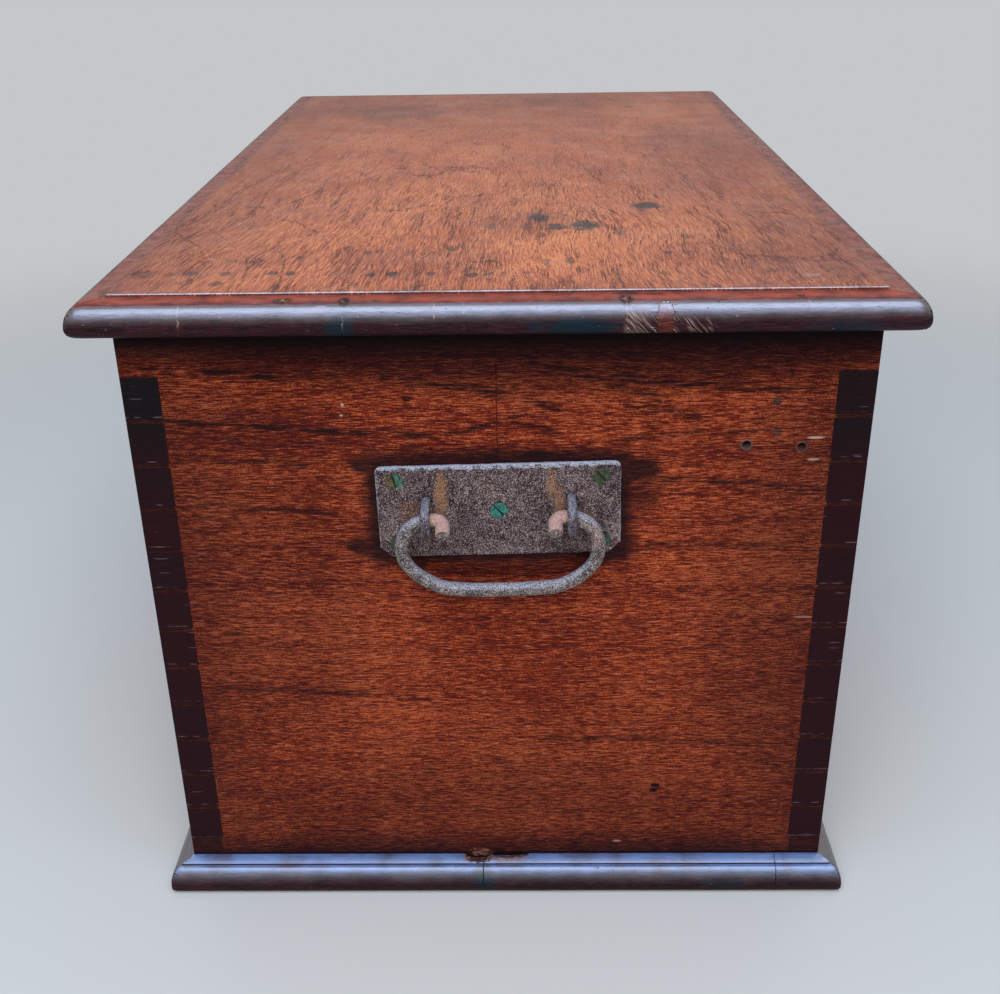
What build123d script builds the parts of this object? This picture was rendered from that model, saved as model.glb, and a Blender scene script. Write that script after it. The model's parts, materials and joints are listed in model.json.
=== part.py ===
from build123d import *
from math import cos, radians, sin
import os

# A dovetailed storage chest, in millimetres. The origin is the middle of the underside, on the floor.
# +Z is up, +X is the front with the lock, and the hinges are at the back. The near end is at -Y.

# Carcass: four boards dovetailed at the corners, on lengthwise bottom boards
BODY_WIDTH = 430.0
BODY_LENGTH = 762.0
RIM_HEIGHT = 401.0
BOARD = 22.0
BOTTOM_THICKNESS = 12.0
BOTTOM_BOARDS = 3

# Dovetails
TAILS = 12
TOP_HALF_PIN = 27.5
BOTTOM_HALF_PIN = 23.0
PIN_FACE = 2.4
PIN_SLOPE = 0.14

# Plinth moulding: a bead against the carcass, a step, a band and a rounded edge
PLINTH_HEIGHT = 22.0
PLINTH_REACH = 15.0
PLINTH_BEAD = 7.5
PLINTH_STEP = 1.2
PLINTH_BAND = 2.0
PLINTH_BEAD_DROP = 2.0
PLINTH_BEAD_RADIUS = 16.0
PLINTH_UNDER_RADIUS = 3.0

# Lid: a board with a mitred lip moulding round it, one step lower than the board
LID_THICKNESS = 20.0
LID_OVERHANG = 21.0
LIP_WIDTH = 20.5
LIP_STEP = 1.4
NOSE_RADIUS = 9.0
LIP_UNDER_RADIUS = 4.5

# Repair plug let into the nose of the near lip
REPAIR_X = 91.5
REPAIR_WIDTH = 8.5
REPAIR_DEPTH = 6.5
REPAIR_TOP_DROP = 0.9

# Old screw holes in the near end board, as (inset from the front face, drop below the rim):
# two open, two filled
OLD_HOLES = ((71.0, 73.5), (39.0, 75.0))
FILLED_HOLES = ((55.5, 46.5), (54.0, 65.5))
OLD_HOLE_RADIUS = 2.6
OLD_HOLE_DEPTH = 12.0

# Nails and sprigs
NAIL_RADIUS = 1.3
NAIL_HEAD_RADIUS = 3.2
NAIL_HEAD = 1.0
NAIL_LENGTH = 34.0
NAILS_PER_SIDE = 9
SPRIG_COVER = 3.0
SPRIG_END_INSET = 45.0
LIP_SPRIG_LENGTH = 32.0
PLINTH_SPRIG_LENGTH = 20.0
SPRIG_SPACING = 130.0
FASTENER_FIT = 0.05
SCREW_SLOT_WIDTH = 0.22
SCREW_SLOT_DEPTH = 0.35

# Handles: an iron plate, two staple eyes and a bail with hooked ends
HANDLE_HEIGHT = 286.0
HANDLE_TILT = 1.2
PLATE_WIDTH = 145.0
PLATE_HEIGHT = 60.0
PLATE_THICKNESS = 3.0
PLATE_RISE = 1.5
PLATE_CORNER = 4.0
PLATE_CLIP = 7.0
PLATE_BEVEL = 0.8
EYE_SPACING = 86.0
EYE_ROD_RADIUS = 3.0
EYE_FIT = 1.0
EYE_LEG = 14.0
BAIL_ROD_RADIUS = 4.5
BAIL_WIDTH = 126.0
BAIL_DROP = 53.0
BAIL_SHOULDER = 18.0
BAIL_CORNER = 29.0
BAIL_STANDOFF = 8.0
HOOK_BEND = 5.0
HOOK_GAP = 2.5
HOOK_LENGTH = 12.0
HOOK_ANGLE = 66.0
HANDLE_SCREW_END_INSET = 11.5
HANDLE_SCREW_INSET = 9.5
HANDLE_SCREW_HEAD = 5.2
HANDLE_SCREW_RADIUS = 2.3
HANDLE_SCREW_LENGTH = 19.0

# Hinges: two butt hinges let in flush between the back board and the lid
HINGE_SPACING = 470.0
HINGE_LENGTH = 76.0
HINGE_KNUCKLES = 5
HINGE_LEAF = 2.4
HINGE_REACH = 25.0
HINGE_STANDOFF = 5.2
KNUCKLE_RADIUS = 4.5
KNUCKLE_GAP = 0.25
HINGE_PIN_RADIUS = 2.2
HINGE_PIN_FIT = 0.06
NOTCH_FIT = 0.6
HINGE_SCREW_SPACING = 26.0
HINGE_SCREW_SETBACK = 10.5
HINGE_SCREW_HEAD = 3.8
HINGE_SCREW_RADIUS = 1.9
HINGE_SCREW_LENGTH = 15.0

# Lock, let into the inside of the front board
LOCK_PLATE = 2.0
LOCK_PLATE_LENGTH = 94.0
SELVEDGE_WIDTH = 16.0
CASE_LENGTH = 66.0
CASE_DROP = 42.0
CASE_DEPTH = 11.0
CASE_WALL = 1.5
MORTISE_FIT = 0.3
LINK_SPACING = 32.0
LINK_WIDTH = 7.0
LINK_THICKNESS = 3.0
LINK_DROP = 13.0
LINK_SLOT_FIT = 0.7
EYE_WIDTH = 4.2
EYE_HEIGHT = 5.0
EYE_FOOT = 2.5
BOLT_TRAVEL = 8.0
BOLT_THICKNESS = 3.2
BOLT_BAR_HEIGHT = 8.0
BOLT_BAR_DROP = 15.0
BOLT_POST = 4.0
BOLT_FINGER = 4.0
BOLT_FIT = 0.8
RUNNER_FIT = 0.2
RUNNER_HEIGHT = 3.5
RUNNER_SETBACK = 2.0
KEY_TURN = 80.0
KEY_SHANK_RADIUS = 2.75
KEY_BORE_RADIUS = 1.3
KEY_BORE_FIT = 0.1
KEY_END_FIT = 0.3
KEY_BELOW_BOLT = 4.5
BIT_RADIUS = 9.0
BIT_THICKNESS = 2.4
BIT_WIDTH = 7.0
BIT_SETBACK = 1.5
DRILL_PIN_LENGTH = 5.5
TALON_HALF_WIDTH = 3.8
BOW_LENGTH = 17.5
BOW_WIDTH = 21.0
BOW_THICKNESS = 3.2
BOW_RIM = 3.6
BOW_CLEARANCE = 1.6
KEYHOLE_FIT = 0.6
SPRING_THICKNESS = 0.8
SPRING_FIT = 0.3
SPRING_BEND = 1.0
SPRING_FOOT = (0.8, -8.4)
SPRING_BELLY = -3.6
SPRING_TIP = (0.4, 2.6)
ESCUTCHEON_WIDTH = 24.0
ESCUTCHEON_HEIGHT = 38.0
ESCUTCHEON_THICKNESS = 1.2
ESCUTCHEON_PIN_RADIUS = 0.8
ESCUTCHEON_PIN_LENGTH = 8.0
ESCUTCHEON_PIN_INSET = 3.6
LOCK_SCREW_HEAD = 3.0
LOCK_SCREW_RADIUS = 1.5
LOCK_SCREW_LENGTH = 12.0
LOCK_SCREW_INSET = 6.0

# Worked out from the sizes above
HALF_WIDTH = BODY_WIDTH / 2
HALF_LENGTH = BODY_LENGTH / 2
INNER_X = HALF_WIDTH - BOARD
INNER_Y = HALF_LENGTH - BOARD
CARCASS_HEIGHT = RIM_HEIGHT - BOTTOM_THICKNESS
TAIL_PITCH = (CARCASS_HEIGHT - TOP_HALF_PIN - BOTTOM_HALF_PIN) / TAILS
LID_TOP = RIM_HEIGHT + LID_THICKNESS
LIP_HEIGHT = LID_THICKNESS - LIP_STEP
LID_BOARD_PROUD = LID_OVERHANG - LIP_WIDTH
EYE_RADIUS = BAIL_ROD_RADIUS + EYE_FIT + EYE_ROD_RADIUS
HINGE_AXIS_X = -HALF_WIDTH - HINGE_STANDOFF
KNUCKLE_PITCH = HINGE_LENGTH / HINGE_KNUCKLES
CASE_INNER_X = INNER_X + LOCK_PLATE
CASE_OUTER_X = CASE_INNER_X + CASE_DEPTH
CASE_TOP = RIM_HEIGHT - LOCK_PLATE
CASE_FOOT = CASE_TOP - CASE_DROP
BOLT_X = CASE_INNER_X + (CASE_DEPTH - CASE_WALL) / 2
BAR_TOP = RIM_HEIGHT - BOLT_BAR_DROP
BAR_FOOT = BAR_TOP - BOLT_BAR_HEIGHT
KEY_Z = BAR_FOOT - KEY_BELOW_BOLT
LINK_EYE_Z = RIM_HEIGHT - LINK_DROP + EYE_FOOT + EYE_HEIGHT / 2
ESCUTCHEON_X = HALF_WIDTH + ESCUTCHEON_THICKNESS


def block(x, y, z):
    """A box between two limits along each axis."""
    size = (x[1] - x[0], y[1] - y[0], z[1] - z[0])
    centre = ((x[0] + x[1]) / 2, (y[0] + y[1]) / 2, (z[0] + z[1]) / 2)
    return Pos(*centre) * Box(*size)


def rod(start, direction, radius, length):
    """A round rod from a start point along a direction."""
    return extrude(Plane(origin=start, z_dir=direction) * Circle(radius), length)


def screw(seat, direction, head, shank, length, depth, grow=0.0, slot=True):
    """A countersunk screw whose flat head is flush at the seat; grow makes the hole that it fits."""
    plane = Plane(origin=seat, z_dir=direction)
    cone = plane * Pos(0, 0, depth / 2) * Cone(head + grow, shank + grow, depth)
    body = cone + extrude(plane * Circle(shank + grow), length + grow)
    if slot:
        body -= plane * Box(3 * head, head * SCREW_SLOT_WIDTH, 2 * depth * SCREW_SLOT_DEPTH)
    return body


def solids_of(shapes):
    """One group of separate solids."""
    return Compound(children=[solid for shape in shapes for solid in shape.solids()])


def cut_all(body, tools):
    """A body with each tool cut from it, leaving out the tools that don't reach it."""
    room = body.bounding_box()
    near = [tool for tool in tools if room.overlaps(tool.bounding_box())]
    return body - near if near else body


# Carcass

def side_board_outline():
    """Outline of the front or back board in (y, z), with its tails at both ends."""
    first_tail_top = RIM_HEIGHT - TOP_HALF_PIN
    face_half = (TAIL_PITCH - PIN_FACE) / 2
    root_half = face_half - BOARD * PIN_SLOPE
    far_end = [(INNER_Y, BOTTOM_THICKNESS)]
    for tail in reversed(range(TAILS)):
        centre = first_tail_top - TAIL_PITCH * (tail + 0.5)
        far_end += [(INNER_Y, centre - root_half), (HALF_LENGTH, centre - face_half)]
        far_end += [(HALF_LENGTH, centre + face_half), (INNER_Y, centre + root_half)]
    far_end.append((INNER_Y, RIM_HEIGHT))
    near_end = [(-y, z) for y, z in reversed(far_end)]
    return far_end + near_end


def side_board(side):
    """The tail board on the front (side 1) or the back (side -1)."""
    face = Plane.YZ * make_face(Polyline(*side_board_outline(), close=True))
    start = INNER_X if side > 0 else -HALF_WIDTH
    return Pos(start, 0, 0) * extrude(face, BOARD)


def end_board(end, tail_boards):
    """The pin board at the near end (end -1) or the far end (end 1)."""
    y = sorted((end * INNER_Y, end * HALF_LENGTH))
    return cut_all(block((-HALF_WIDTH, HALF_WIDTH), y, (BOTTOM_THICKNESS, RIM_HEIGHT)), tail_boards)


def old_holes(places, grow=0.0):
    """Rods the size of the holes that an older fitting left in the near end board."""
    return [rod((HALF_WIDTH - inset, -HALF_LENGTH, RIM_HEIGHT - drop), (0, 1, 0),
                OLD_HOLE_RADIUS + grow, OLD_HOLE_DEPTH + grow) for inset, drop in places]


def bottom_board(index):
    """One of the lengthwise bottom boards."""
    width = BODY_WIDTH / BOTTOM_BOARDS
    left = -HALF_WIDTH + index * width
    return block((left, left + width), (-HALF_LENGTH, HALF_LENGTH), (0, BOTTOM_THICKNESS))


def spread(count, half):
    """Evenly spaced places, the first and last at a distance half from the middle."""
    return [-half + 2 * half * place / (count - 1) for place in range(count)]


def sprig_places(length):
    """Places of the sprigs along a moulding on a side of the given length."""
    half = length / 2 - SPRIG_END_INSET
    return spread(max(2, round(2 * half / SPRIG_SPACING) + 1), half)


def bottom_nail_places():
    """Nail places under the four walls, as (x, y)."""
    side_x = HALF_WIDTH - BOARD / 2
    end_y = HALF_LENGTH - BOARD / 2
    places = [(x, y) for x in (-side_x, side_x) for y in spread(NAILS_PER_SIDE, INNER_Y - BOARD)]
    width = BODY_WIDTH / BOTTOM_BOARDS
    for index in range(BOTTOM_BOARDS):
        middle = -HALF_WIDTH + (index + 0.5) * width
        places += [(middle + offset * width / 4, y) for offset in (-1, 1) for y in (-end_y, end_y)]
    return places


def bottom_nails(grow=0.0):
    """Nails driven up through the bottom boards, with their heads let in flush."""
    nails = []
    for x, y in bottom_nail_places():
        head = rod((x, y, 0), (0, 0, 1), NAIL_HEAD_RADIUS + grow, NAIL_HEAD + grow)
        nails.append(head + rod((x, y, 0), (0, 0, 1), NAIL_RADIUS + grow, NAIL_LENGTH + grow))
    return nails


# Mouldings

def plinth_section():
    """Section of the plinth in (reach from the wall, height)."""
    bead_edge = PLINTH_BEAD
    band_height = PLINTH_HEIGHT - PLINTH_STEP - PLINTH_BEAD_DROP
    nose_start = bead_edge + PLINTH_BAND
    nose_radius = PLINTH_REACH - nose_start
    under = PLINTH_UNDER_RADIUS
    lines = [
        Line((0, 0), (PLINTH_REACH - under, 0)),
        RadiusArc((PLINTH_REACH - under, 0), (PLINTH_REACH, under), -under),
        Line((PLINTH_REACH, under), (PLINTH_REACH, band_height - nose_radius)),
        RadiusArc((PLINTH_REACH, band_height - nose_radius), (nose_start, band_height), -nose_radius),
        Line((nose_start, band_height), (bead_edge, band_height)),
        Line((bead_edge, band_height), (bead_edge, band_height + PLINTH_STEP)),
        RadiusArc((bead_edge, band_height + PLINTH_STEP), (0, PLINTH_HEIGHT), -PLINTH_BEAD_RADIUS),
        Line((0, PLINTH_HEIGHT), (0, 0)),
    ]
    return make_face(Curve() + lines)


def lip_section():
    """Section of the lid lip in (reach from the lid board, height above the rim)."""
    under = LIP_UNDER_RADIUS
    lines = [
        Line((0, 0), (LIP_WIDTH - under, 0)),
        RadiusArc((LIP_WIDTH - under, 0), (LIP_WIDTH, under), -under),
        Line((LIP_WIDTH, under), (LIP_WIDTH, LIP_HEIGHT - NOSE_RADIUS)),
        RadiusArc((LIP_WIDTH, LIP_HEIGHT - NOSE_RADIUS), (LIP_WIDTH - NOSE_RADIUS, LIP_HEIGHT), -NOSE_RADIUS),
        Line((LIP_WIDTH - NOSE_RADIUS, LIP_HEIGHT), (0, LIP_HEIGHT)),
        Line((0, LIP_HEIGHT), (0, 0)),
    ]
    return make_face(Curve() + lines)


def moulding(section, length, reach, height):
    """A moulding along Y that stands out along +X, with both ends mitred outwards."""
    half = length / 2
    full = extrude(Plane.XZ * section, half + reach, both=True)
    plan = Polyline((0, -half), (0, half), (reach, half + reach), (reach, -half - reach), close=True)
    return full & extrude(make_face(plan), height)


def placed_round(side, half_width, half_length, base):
    """Placement that turns a moulding to its side of a rectangle: front, far, back or near."""
    turns = {"front": 0, "far": 90, "back": 180, "near": -90}
    reach = half_width if side in ("front", "back") else half_length
    return Pos(0, 0, base) * Rot(0, 0, turns[side]) * Pos(reach, 0, 0)


def plinth(side):
    """One of the four plinth mouldings."""
    length = BODY_LENGTH if side in ("front", "back") else BODY_WIDTH
    piece = moulding(plinth_section(), length, PLINTH_REACH, PLINTH_HEIGHT)
    return placed_round(side, HALF_WIDTH, HALF_LENGTH, 0) * piece


def lip(side):
    """One of the four lid lips."""
    proud = LID_BOARD_PROUD
    length = (BODY_LENGTH if side in ("front", "back") else BODY_WIDTH) + 2 * proud
    piece = moulding(lip_section(), length, LIP_WIDTH, LIP_HEIGHT)
    return placed_round(side, HALF_WIDTH + proud, HALF_LENGTH + proud, RIM_HEIGHT) * piece


def lid_board():
    """The board of the lid, before its hinge and lock recesses."""
    x = HALF_WIDTH + LID_BOARD_PROUD
    y = HALF_LENGTH + LID_BOARD_PROUD
    return block((-x, x), (-y, y), (RIM_HEIGHT, LID_TOP))


def sprigs(side, reach, half_width, half_length, height, length, grow=0.0):
    """Headless sprigs across a moulding, punched in by the cover depth, on one side."""
    along = 2 * (half_length if side in ("front", "back") else half_width)
    place = placed_round(side, half_width, half_length, height)
    start = reach - SPRIG_COVER + grow
    return [place * rod((start, y, 0), (-1, 0, 0), NAIL_RADIUS + grow, length + 2 * grow)
            for y in sprig_places(along)]


def plinth_sprigs(grow=0.0):
    """Sprigs of all four plinth mouldings."""
    height = BOTTOM_THICKNESS / 2
    return [nail for side in SIDES for nail in
            sprigs(side, PLINTH_REACH, HALF_WIDTH, HALF_LENGTH, height, PLINTH_SPRIG_LENGTH, grow)]


def lip_sprigs(grow=0.0):
    """Sprigs of all four lid lips."""
    x = HALF_WIDTH + LID_BOARD_PROUD
    y = HALF_LENGTH + LID_BOARD_PROUD
    height = RIM_HEIGHT + LIP_HEIGHT / 2
    return [nail for side in SIDES for nail in
            sprigs(side, LIP_WIDTH, x, y, height, LIP_SPRIG_LENGTH, grow)]


def repair_slot():
    """The place of the plug in the near lip, open at the nose and underneath, with a round top."""
    nose = -HALF_LENGTH - LID_OVERHANG
    top = RIM_HEIGHT + LIP_HEIGHT - REPAIR_TOP_DROP
    arch = REPAIR_WIDTH / 2
    y = (nose - 1, nose + REPAIR_DEPTH)
    shaft = block((REPAIR_X - arch, REPAIR_X + arch), y, (RIM_HEIGHT - 1, top - arch))
    return shaft + rod((REPAIR_X, y[0], top - arch), (0, 1, 0), arch, y[1] - y[0])


# Handles

def handle_place(end):
    """Placement of a handle drawn on the near end, with its axis through the origin."""
    turn = 0 if end < 0 else 180
    tilt = -HANDLE_TILT if end < 0 else 0
    return Rot(0, 0, turn) * Pos(0, -HALF_LENGTH, HANDLE_HEIGHT) * Rot(0, tilt, 0)


def handle_plate():
    """The plate, with its upper corners rounded and its lower corners clipped."""
    half = PLATE_WIDTH / 2
    top = PLATE_RISE + PLATE_HEIGHT / 2
    foot = PLATE_RISE - PLATE_HEIGHT / 2
    outline = Polyline((-half, top), (half, top), (half, foot + PLATE_CLIP), (half - PLATE_CLIP, foot),
                       (PLATE_CLIP - half, foot), (-half, foot + PLATE_CLIP), close=True)
    face = make_face(outline)
    corners = face.vertices().sort_by(Axis.Y)[-2:]
    plate = extrude(Plane.XZ * fillet(corners, PLATE_CORNER), PLATE_THICKNESS)
    rim = plate.faces().sort_by(Axis.Y)[0].edges()
    return chamfer(rim, PLATE_BEVEL)


def handle_screw_places():
    """Screw places on the handle plate in (x, z): four corners and the middle."""
    x = PLATE_WIDTH / 2 - HANDLE_SCREW_END_INSET
    z = PLATE_HEIGHT / 2 - HANDLE_SCREW_INSET
    corners = [(sx * x, PLATE_RISE + sz * z) for sx in (-1, 1) for sz in (-1, 1)]
    return corners + [(0, PLATE_RISE)]


def handle_screws(grow=0.0, slot=True):
    """The handle's screws, flush with the face of the plate."""
    return [screw((x, -PLATE_THICKNESS, z), (0, 1, 0), HANDLE_SCREW_HEAD, HANDLE_SCREW_RADIUS,
                  HANDLE_SCREW_LENGTH, PLATE_THICKNESS, grow, slot)
            for x, z in handle_screw_places()]


def staple_eyes(grow=0.0):
    """Two staple eyes whose legs pass through the plate into the board."""
    eyes = []
    bow = -PLATE_THICKNESS - BAIL_STANDOFF
    for x in (-EYE_SPACING / 2, EYE_SPACING / 2):
        section = Plane(origin=(x, EYE_LEG, EYE_RADIUS), z_dir=(0, -1, 0)) * Circle(EYE_ROD_RADIUS + grow)
        top = (x, EYE_LEG, EYE_RADIUS)
        path = (Line(top, (x, bow, EYE_RADIUS))
                + ThreePointArc((x, bow, EYE_RADIUS), (x, bow - EYE_RADIUS, 0), (x, bow, -EYE_RADIUS))
                + Line((x, bow, -EYE_RADIUS), (x, EYE_LEG, -EYE_RADIUS)))
        eyes.append(sweep(section, path))
    return eyes


def bail():
    """The bail, hanging, with hooked ends turned out through the eyes; its axis is the X axis."""
    hook_x = EYE_SPACING / 2 - EYE_ROD_RADIUS - HOOK_GAP - BAIL_ROD_RADIUS
    side = BAIL_WIDTH / 2 - BAIL_ROD_RADIUS
    foot = BAIL_DROP - BAIL_ROD_RADIUS
    tilt = radians(HOOK_ANGLE)
    reach = (-HOOK_LENGTH * sin(tilt), -HOOK_LENGTH * cos(tilt))
    points = [(-hook_x, *reach), (-hook_x, 0, 0), (-side, 0, 0), (-side, 0, -foot),
              (side, 0, -foot), (side, 0, 0), (hook_x, 0, 0), (hook_x, *reach)]
    radii = [HOOK_BEND, BAIL_SHOULDER, BAIL_CORNER, BAIL_CORNER, BAIL_SHOULDER, HOOK_BEND]
    path = FilletPolyline(*points, radius=radii)
    start = Plane(origin=path @ 0, z_dir=path % 0)
    return Pos(0, -PLATE_THICKNESS - BAIL_STANDOFF, 0) * sweep(start * Circle(BAIL_ROD_RADIUS), path)


# Hinges

def hinge_leaf(upward, owned):
    """A leaf at the hinge axis with the knuckles that it owns; it reaches along +X from the axis."""
    z = (0, HINGE_LEAF) if upward else (-HINGE_LEAF, 0)
    clear = KNUCKLE_RADIUS + KNUCKLE_GAP
    half = HINGE_LENGTH / 2
    leaf = block((clear, HINGE_REACH), (-half, half), z)
    for index in owned:
        low = -half + index * KNUCKLE_PITCH + (KNUCKLE_GAP / 2 if index > 0 else 0)
        last = HINGE_KNUCKLES - 1
        high = -half + (index + 1) * KNUCKLE_PITCH - (KNUCKLE_GAP / 2 if index < last else 0)
        leaf += block((0, clear), (low, high), z)
        leaf += rod((0, low, 0), (0, 1, 0), KNUCKLE_RADIUS, high - low)
    return leaf - rod((0, -half, 0), (0, 1, 0), HINGE_PIN_RADIUS + HINGE_PIN_FIT, HINGE_LENGTH)


def hinge_places():
    """Placements of the two hinge axes."""
    return [Pos(HINGE_AXIS_X, y, RIM_HEIGHT) for y in (-HINGE_SPACING / 2, HINGE_SPACING / 2)]


def hinge_screws(upward, grow=0.0, slot=True):
    """Screws of one leaf, set from the back face of the chest and flush with the leaf."""
    direction = (0, 0, 1) if upward else (0, 0, -1)
    x = HINGE_STANDOFF + HINGE_SCREW_SETBACK
    return [screw((x, y, 0), direction, HINGE_SCREW_HEAD, HINGE_SCREW_RADIUS,
                  HINGE_SCREW_LENGTH, HINGE_LEAF, grow, slot)
            for y in (-HINGE_SCREW_SPACING, 0, HINGE_SCREW_SPACING)]


def hinge_pin():
    """The pin of a hinge, as long as its knuckles."""
    return rod((0, -HINGE_LENGTH / 2, 0), (0, 1, 0), HINGE_PIN_RADIUS, HINGE_LENGTH)


def hinge_recess(upward):
    """The room that a leaf takes in the board that carries it."""
    z = (0, HINGE_LEAF) if upward else (-HINGE_LEAF, 0)
    return block((0, HINGE_REACH), (-HINGE_LENGTH / 2, HINGE_LENGTH / 2), z)


def knuckle_notch():
    """The round notch in the back lip that the knuckles turn in."""
    half = HINGE_LENGTH / 2 + NOTCH_FIT
    return rod((0, -half, 0), (0, 1, 0), KNUCKLE_RADIUS + NOTCH_FIT, 2 * half)


# Lock

def keyhole(x_low, x_high, fit=KEYHOLE_FIT):
    """A round hole with a slot under it for the bit, through a plate between two limits along X."""
    length = x_high - x_low
    slot = BIT_THICKNESS / 2 + fit
    hole = rod((x_low, 0, KEY_Z), (1, 0, 0), KEY_SHANK_RADIUS + fit, length)
    return hole + block((x_low, x_high), (-slot, slot), (KEY_Z - BIT_RADIUS - fit, KEY_Z))


def link_slots(x_low, x_high, z_low, z_high, fit):
    """Slots that the two link staples drop through."""
    half = LINK_THICKNESS / 2 + fit
    return [block((x_low, x_high), (y - half, y + half), (z_low, z_high))
            for y in (-LINK_SPACING / 2, LINK_SPACING / 2)]


def lock_case():
    """The case with its selvedge on top, open towards the inside of the chest, with bolt runners."""
    half = CASE_LENGTH / 2
    case = block((CASE_INNER_X, CASE_OUTER_X), (-half, half), (CASE_FOOT, CASE_TOP))
    hollow_x = (CASE_INNER_X, CASE_OUTER_X - CASE_WALL)
    case -= block(hollow_x, (CASE_WALL - half, half - CASE_WALL), (CASE_FOOT + CASE_WALL, CASE_TOP))
    case += block((INNER_X, INNER_X + SELVEDGE_WIDTH),
                  (-LOCK_PLATE_LENGTH / 2, LOCK_PLATE_LENGTH / 2), (CASE_TOP, RIM_HEIGHT))
    runner_top = BAR_FOOT - RUNNER_FIT
    runner_start = BIT_RADIUS + RUNNER_SETBACK
    for side in (-1, 1):
        y = sorted((side * runner_start, side * (half - CASE_WALL)))
        case += block((BOLT_X - BOLT_THICKNESS / 2, hollow_x[1]), y, (runner_top - RUNNER_HEIGHT, runner_top))
    slot_x = LINK_WIDTH / 2 + LINK_SLOT_FIT
    case = cut_all(case, link_slots(BOLT_X - slot_x, BOLT_X + slot_x, CASE_TOP, RIM_HEIGHT, LINK_SLOT_FIT))
    return case - keyhole(hollow_x[1], CASE_OUTER_X)


def lock_cap():
    """The cap plate over the open side of the case, flush with the board, with the key's drill pin."""
    half = LOCK_PLATE_LENGTH / 2
    plate = block((INNER_X, CASE_INNER_X), (-half, half), (CASE_FOOT, CASE_TOP))
    return plate + rod((CASE_INNER_X, 0, KEY_Z), (1, 0, 0), KEY_BORE_RADIUS, DRILL_PIN_LENGTH)


def lock_bolt():
    """The sliding bolt, unlocked: a bar with a notch for the bit, and two posts with fingers."""
    x = (BOLT_X - BOLT_THICKNESS / 2, BOLT_X + BOLT_THICKNESS / 2)
    back_off = LINK_THICKNESS / 2 + BOLT_FIT
    finger_length = BOLT_TRAVEL - BOLT_FIT / 2
    finger_z = (LINK_EYE_Z - BOLT_FINGER / 2, LINK_EYE_Z + BOLT_FINGER / 2)
    tips = [y - back_off for y in (-LINK_SPACING / 2, LINK_SPACING / 2)]
    tail = tips[0] - finger_length - BOLT_POST
    nose = tips[1] - finger_length
    bolt = block(x, (tail, nose), (BAR_FOOT, BAR_TOP))
    for tip in tips:
        post = (tip - finger_length - BOLT_POST, tip - finger_length)
        bolt += block(x, post, (BAR_TOP, finger_z[1]))
        bolt += block(x, (post[1], tip), finger_z)
    middle = -BOLT_TRAVEL / 2
    notch_top = KEY_Z + BIT_RADIUS + BOLT_FIT / 2
    return bolt - block(x, (middle - TALON_HALF_WIDTH, middle + TALON_HALF_WIDTH), (BAR_FOOT, notch_top))


def lock_spring():
    """A bent leaf spring under the selvedge, that rests on the top of the bolt's bar."""
    half = SPRING_THICKNESS / 2
    top = CASE_TOP - half
    low = BAR_TOP + SPRING_FIT + half
    foot = [(y, top) for y in SPRING_FOOT]
    tip = (SPRING_TIP[0], low + SPRING_TIP[1])
    line = FilletPolyline(*foot, (SPRING_BELLY, low), tip, radius=SPRING_BEND)
    strip = Plane.YZ * trace(line, SPRING_THICKNESS)
    return Pos(BOLT_X - BOLT_THICKNESS / 2, 0, 0) * extrude(strip, BOLT_THICKNESS)


def key():
    """The key, with its bit turned to the bolt's notch: barrel, bit, and a bow outside the board."""
    inner = CASE_INNER_X + KEY_END_FIT
    collar = ESCUTCHEON_X + BOW_CLEARANCE
    shank = rod((inner, 0, 0), (1, 0, 0), KEY_SHANK_RADIUS, collar + BOW_RIM / 2 - inner)
    bit_x = (inner + BIT_SETBACK, inner + BIT_SETBACK + BIT_WIDTH)
    bit = block(bit_x, (-BIT_THICKNESS / 2, BIT_THICKNESS / 2), (0, BIT_RADIUS))
    middle = collar + BOW_LENGTH / 2
    bow_plane = Plane(origin=(middle, 0, 0), x_dir=(1, 0, 0), z_dir=(0, 1, 0))
    outer = Ellipse(BOW_LENGTH / 2, BOW_WIDTH / 2)
    hole = Ellipse(BOW_LENGTH / 2 - BOW_RIM, BOW_WIDTH / 2 - BOW_RIM)
    bow = extrude(bow_plane * (outer - hole), BOW_THICKNESS / 2, both=True)
    whole = shank + bit + bow
    whole -= rod((inner, 0, 0), (1, 0, 0), KEY_BORE_RADIUS + KEY_BORE_FIT, BIT_WIDTH)
    return Pos(0, 0, KEY_Z) * Rot(KEY_TURN / 2, 0, 0) * whole


def link_plate():
    """The plate under the lid, with two eyed staples that drop into the lock."""
    x_plate = (INNER_X, INNER_X + SELVEDGE_WIDTH)
    half = LOCK_PLATE_LENGTH / 2
    plate = block(x_plate, (-half, half), (RIM_HEIGHT, RIM_HEIGHT + LOCK_PLATE))
    x = (BOLT_X - LINK_WIDTH / 2, BOLT_X + LINK_WIDTH / 2)
    eye_z = (LINK_EYE_Z - EYE_HEIGHT / 2, LINK_EYE_Z + EYE_HEIGHT / 2)
    for staple in link_slots(*x, RIM_HEIGHT - LINK_DROP, RIM_HEIGHT, 0):
        plate += staple
    eyes = link_slots(BOLT_X - EYE_WIDTH / 2, BOLT_X + EYE_WIDTH / 2, *eye_z, LINK_SLOT_FIT)
    return cut_all(plate, eyes)


def selvedge_screws(upward, grow=0.0, slot=True):
    """Two screws at the ends of the selvedge, or of the link plate above it."""
    direction = (0, 0, 1) if upward else (0, 0, -1)
    y = LOCK_PLATE_LENGTH / 2 - LOCK_SCREW_INSET
    return [screw((BOLT_X, side * y, RIM_HEIGHT), direction, LOCK_SCREW_HEAD, LOCK_SCREW_RADIUS,
                  LOCK_SCREW_LENGTH, LOCK_PLATE, grow, slot) for side in (-1, 1)]


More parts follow.
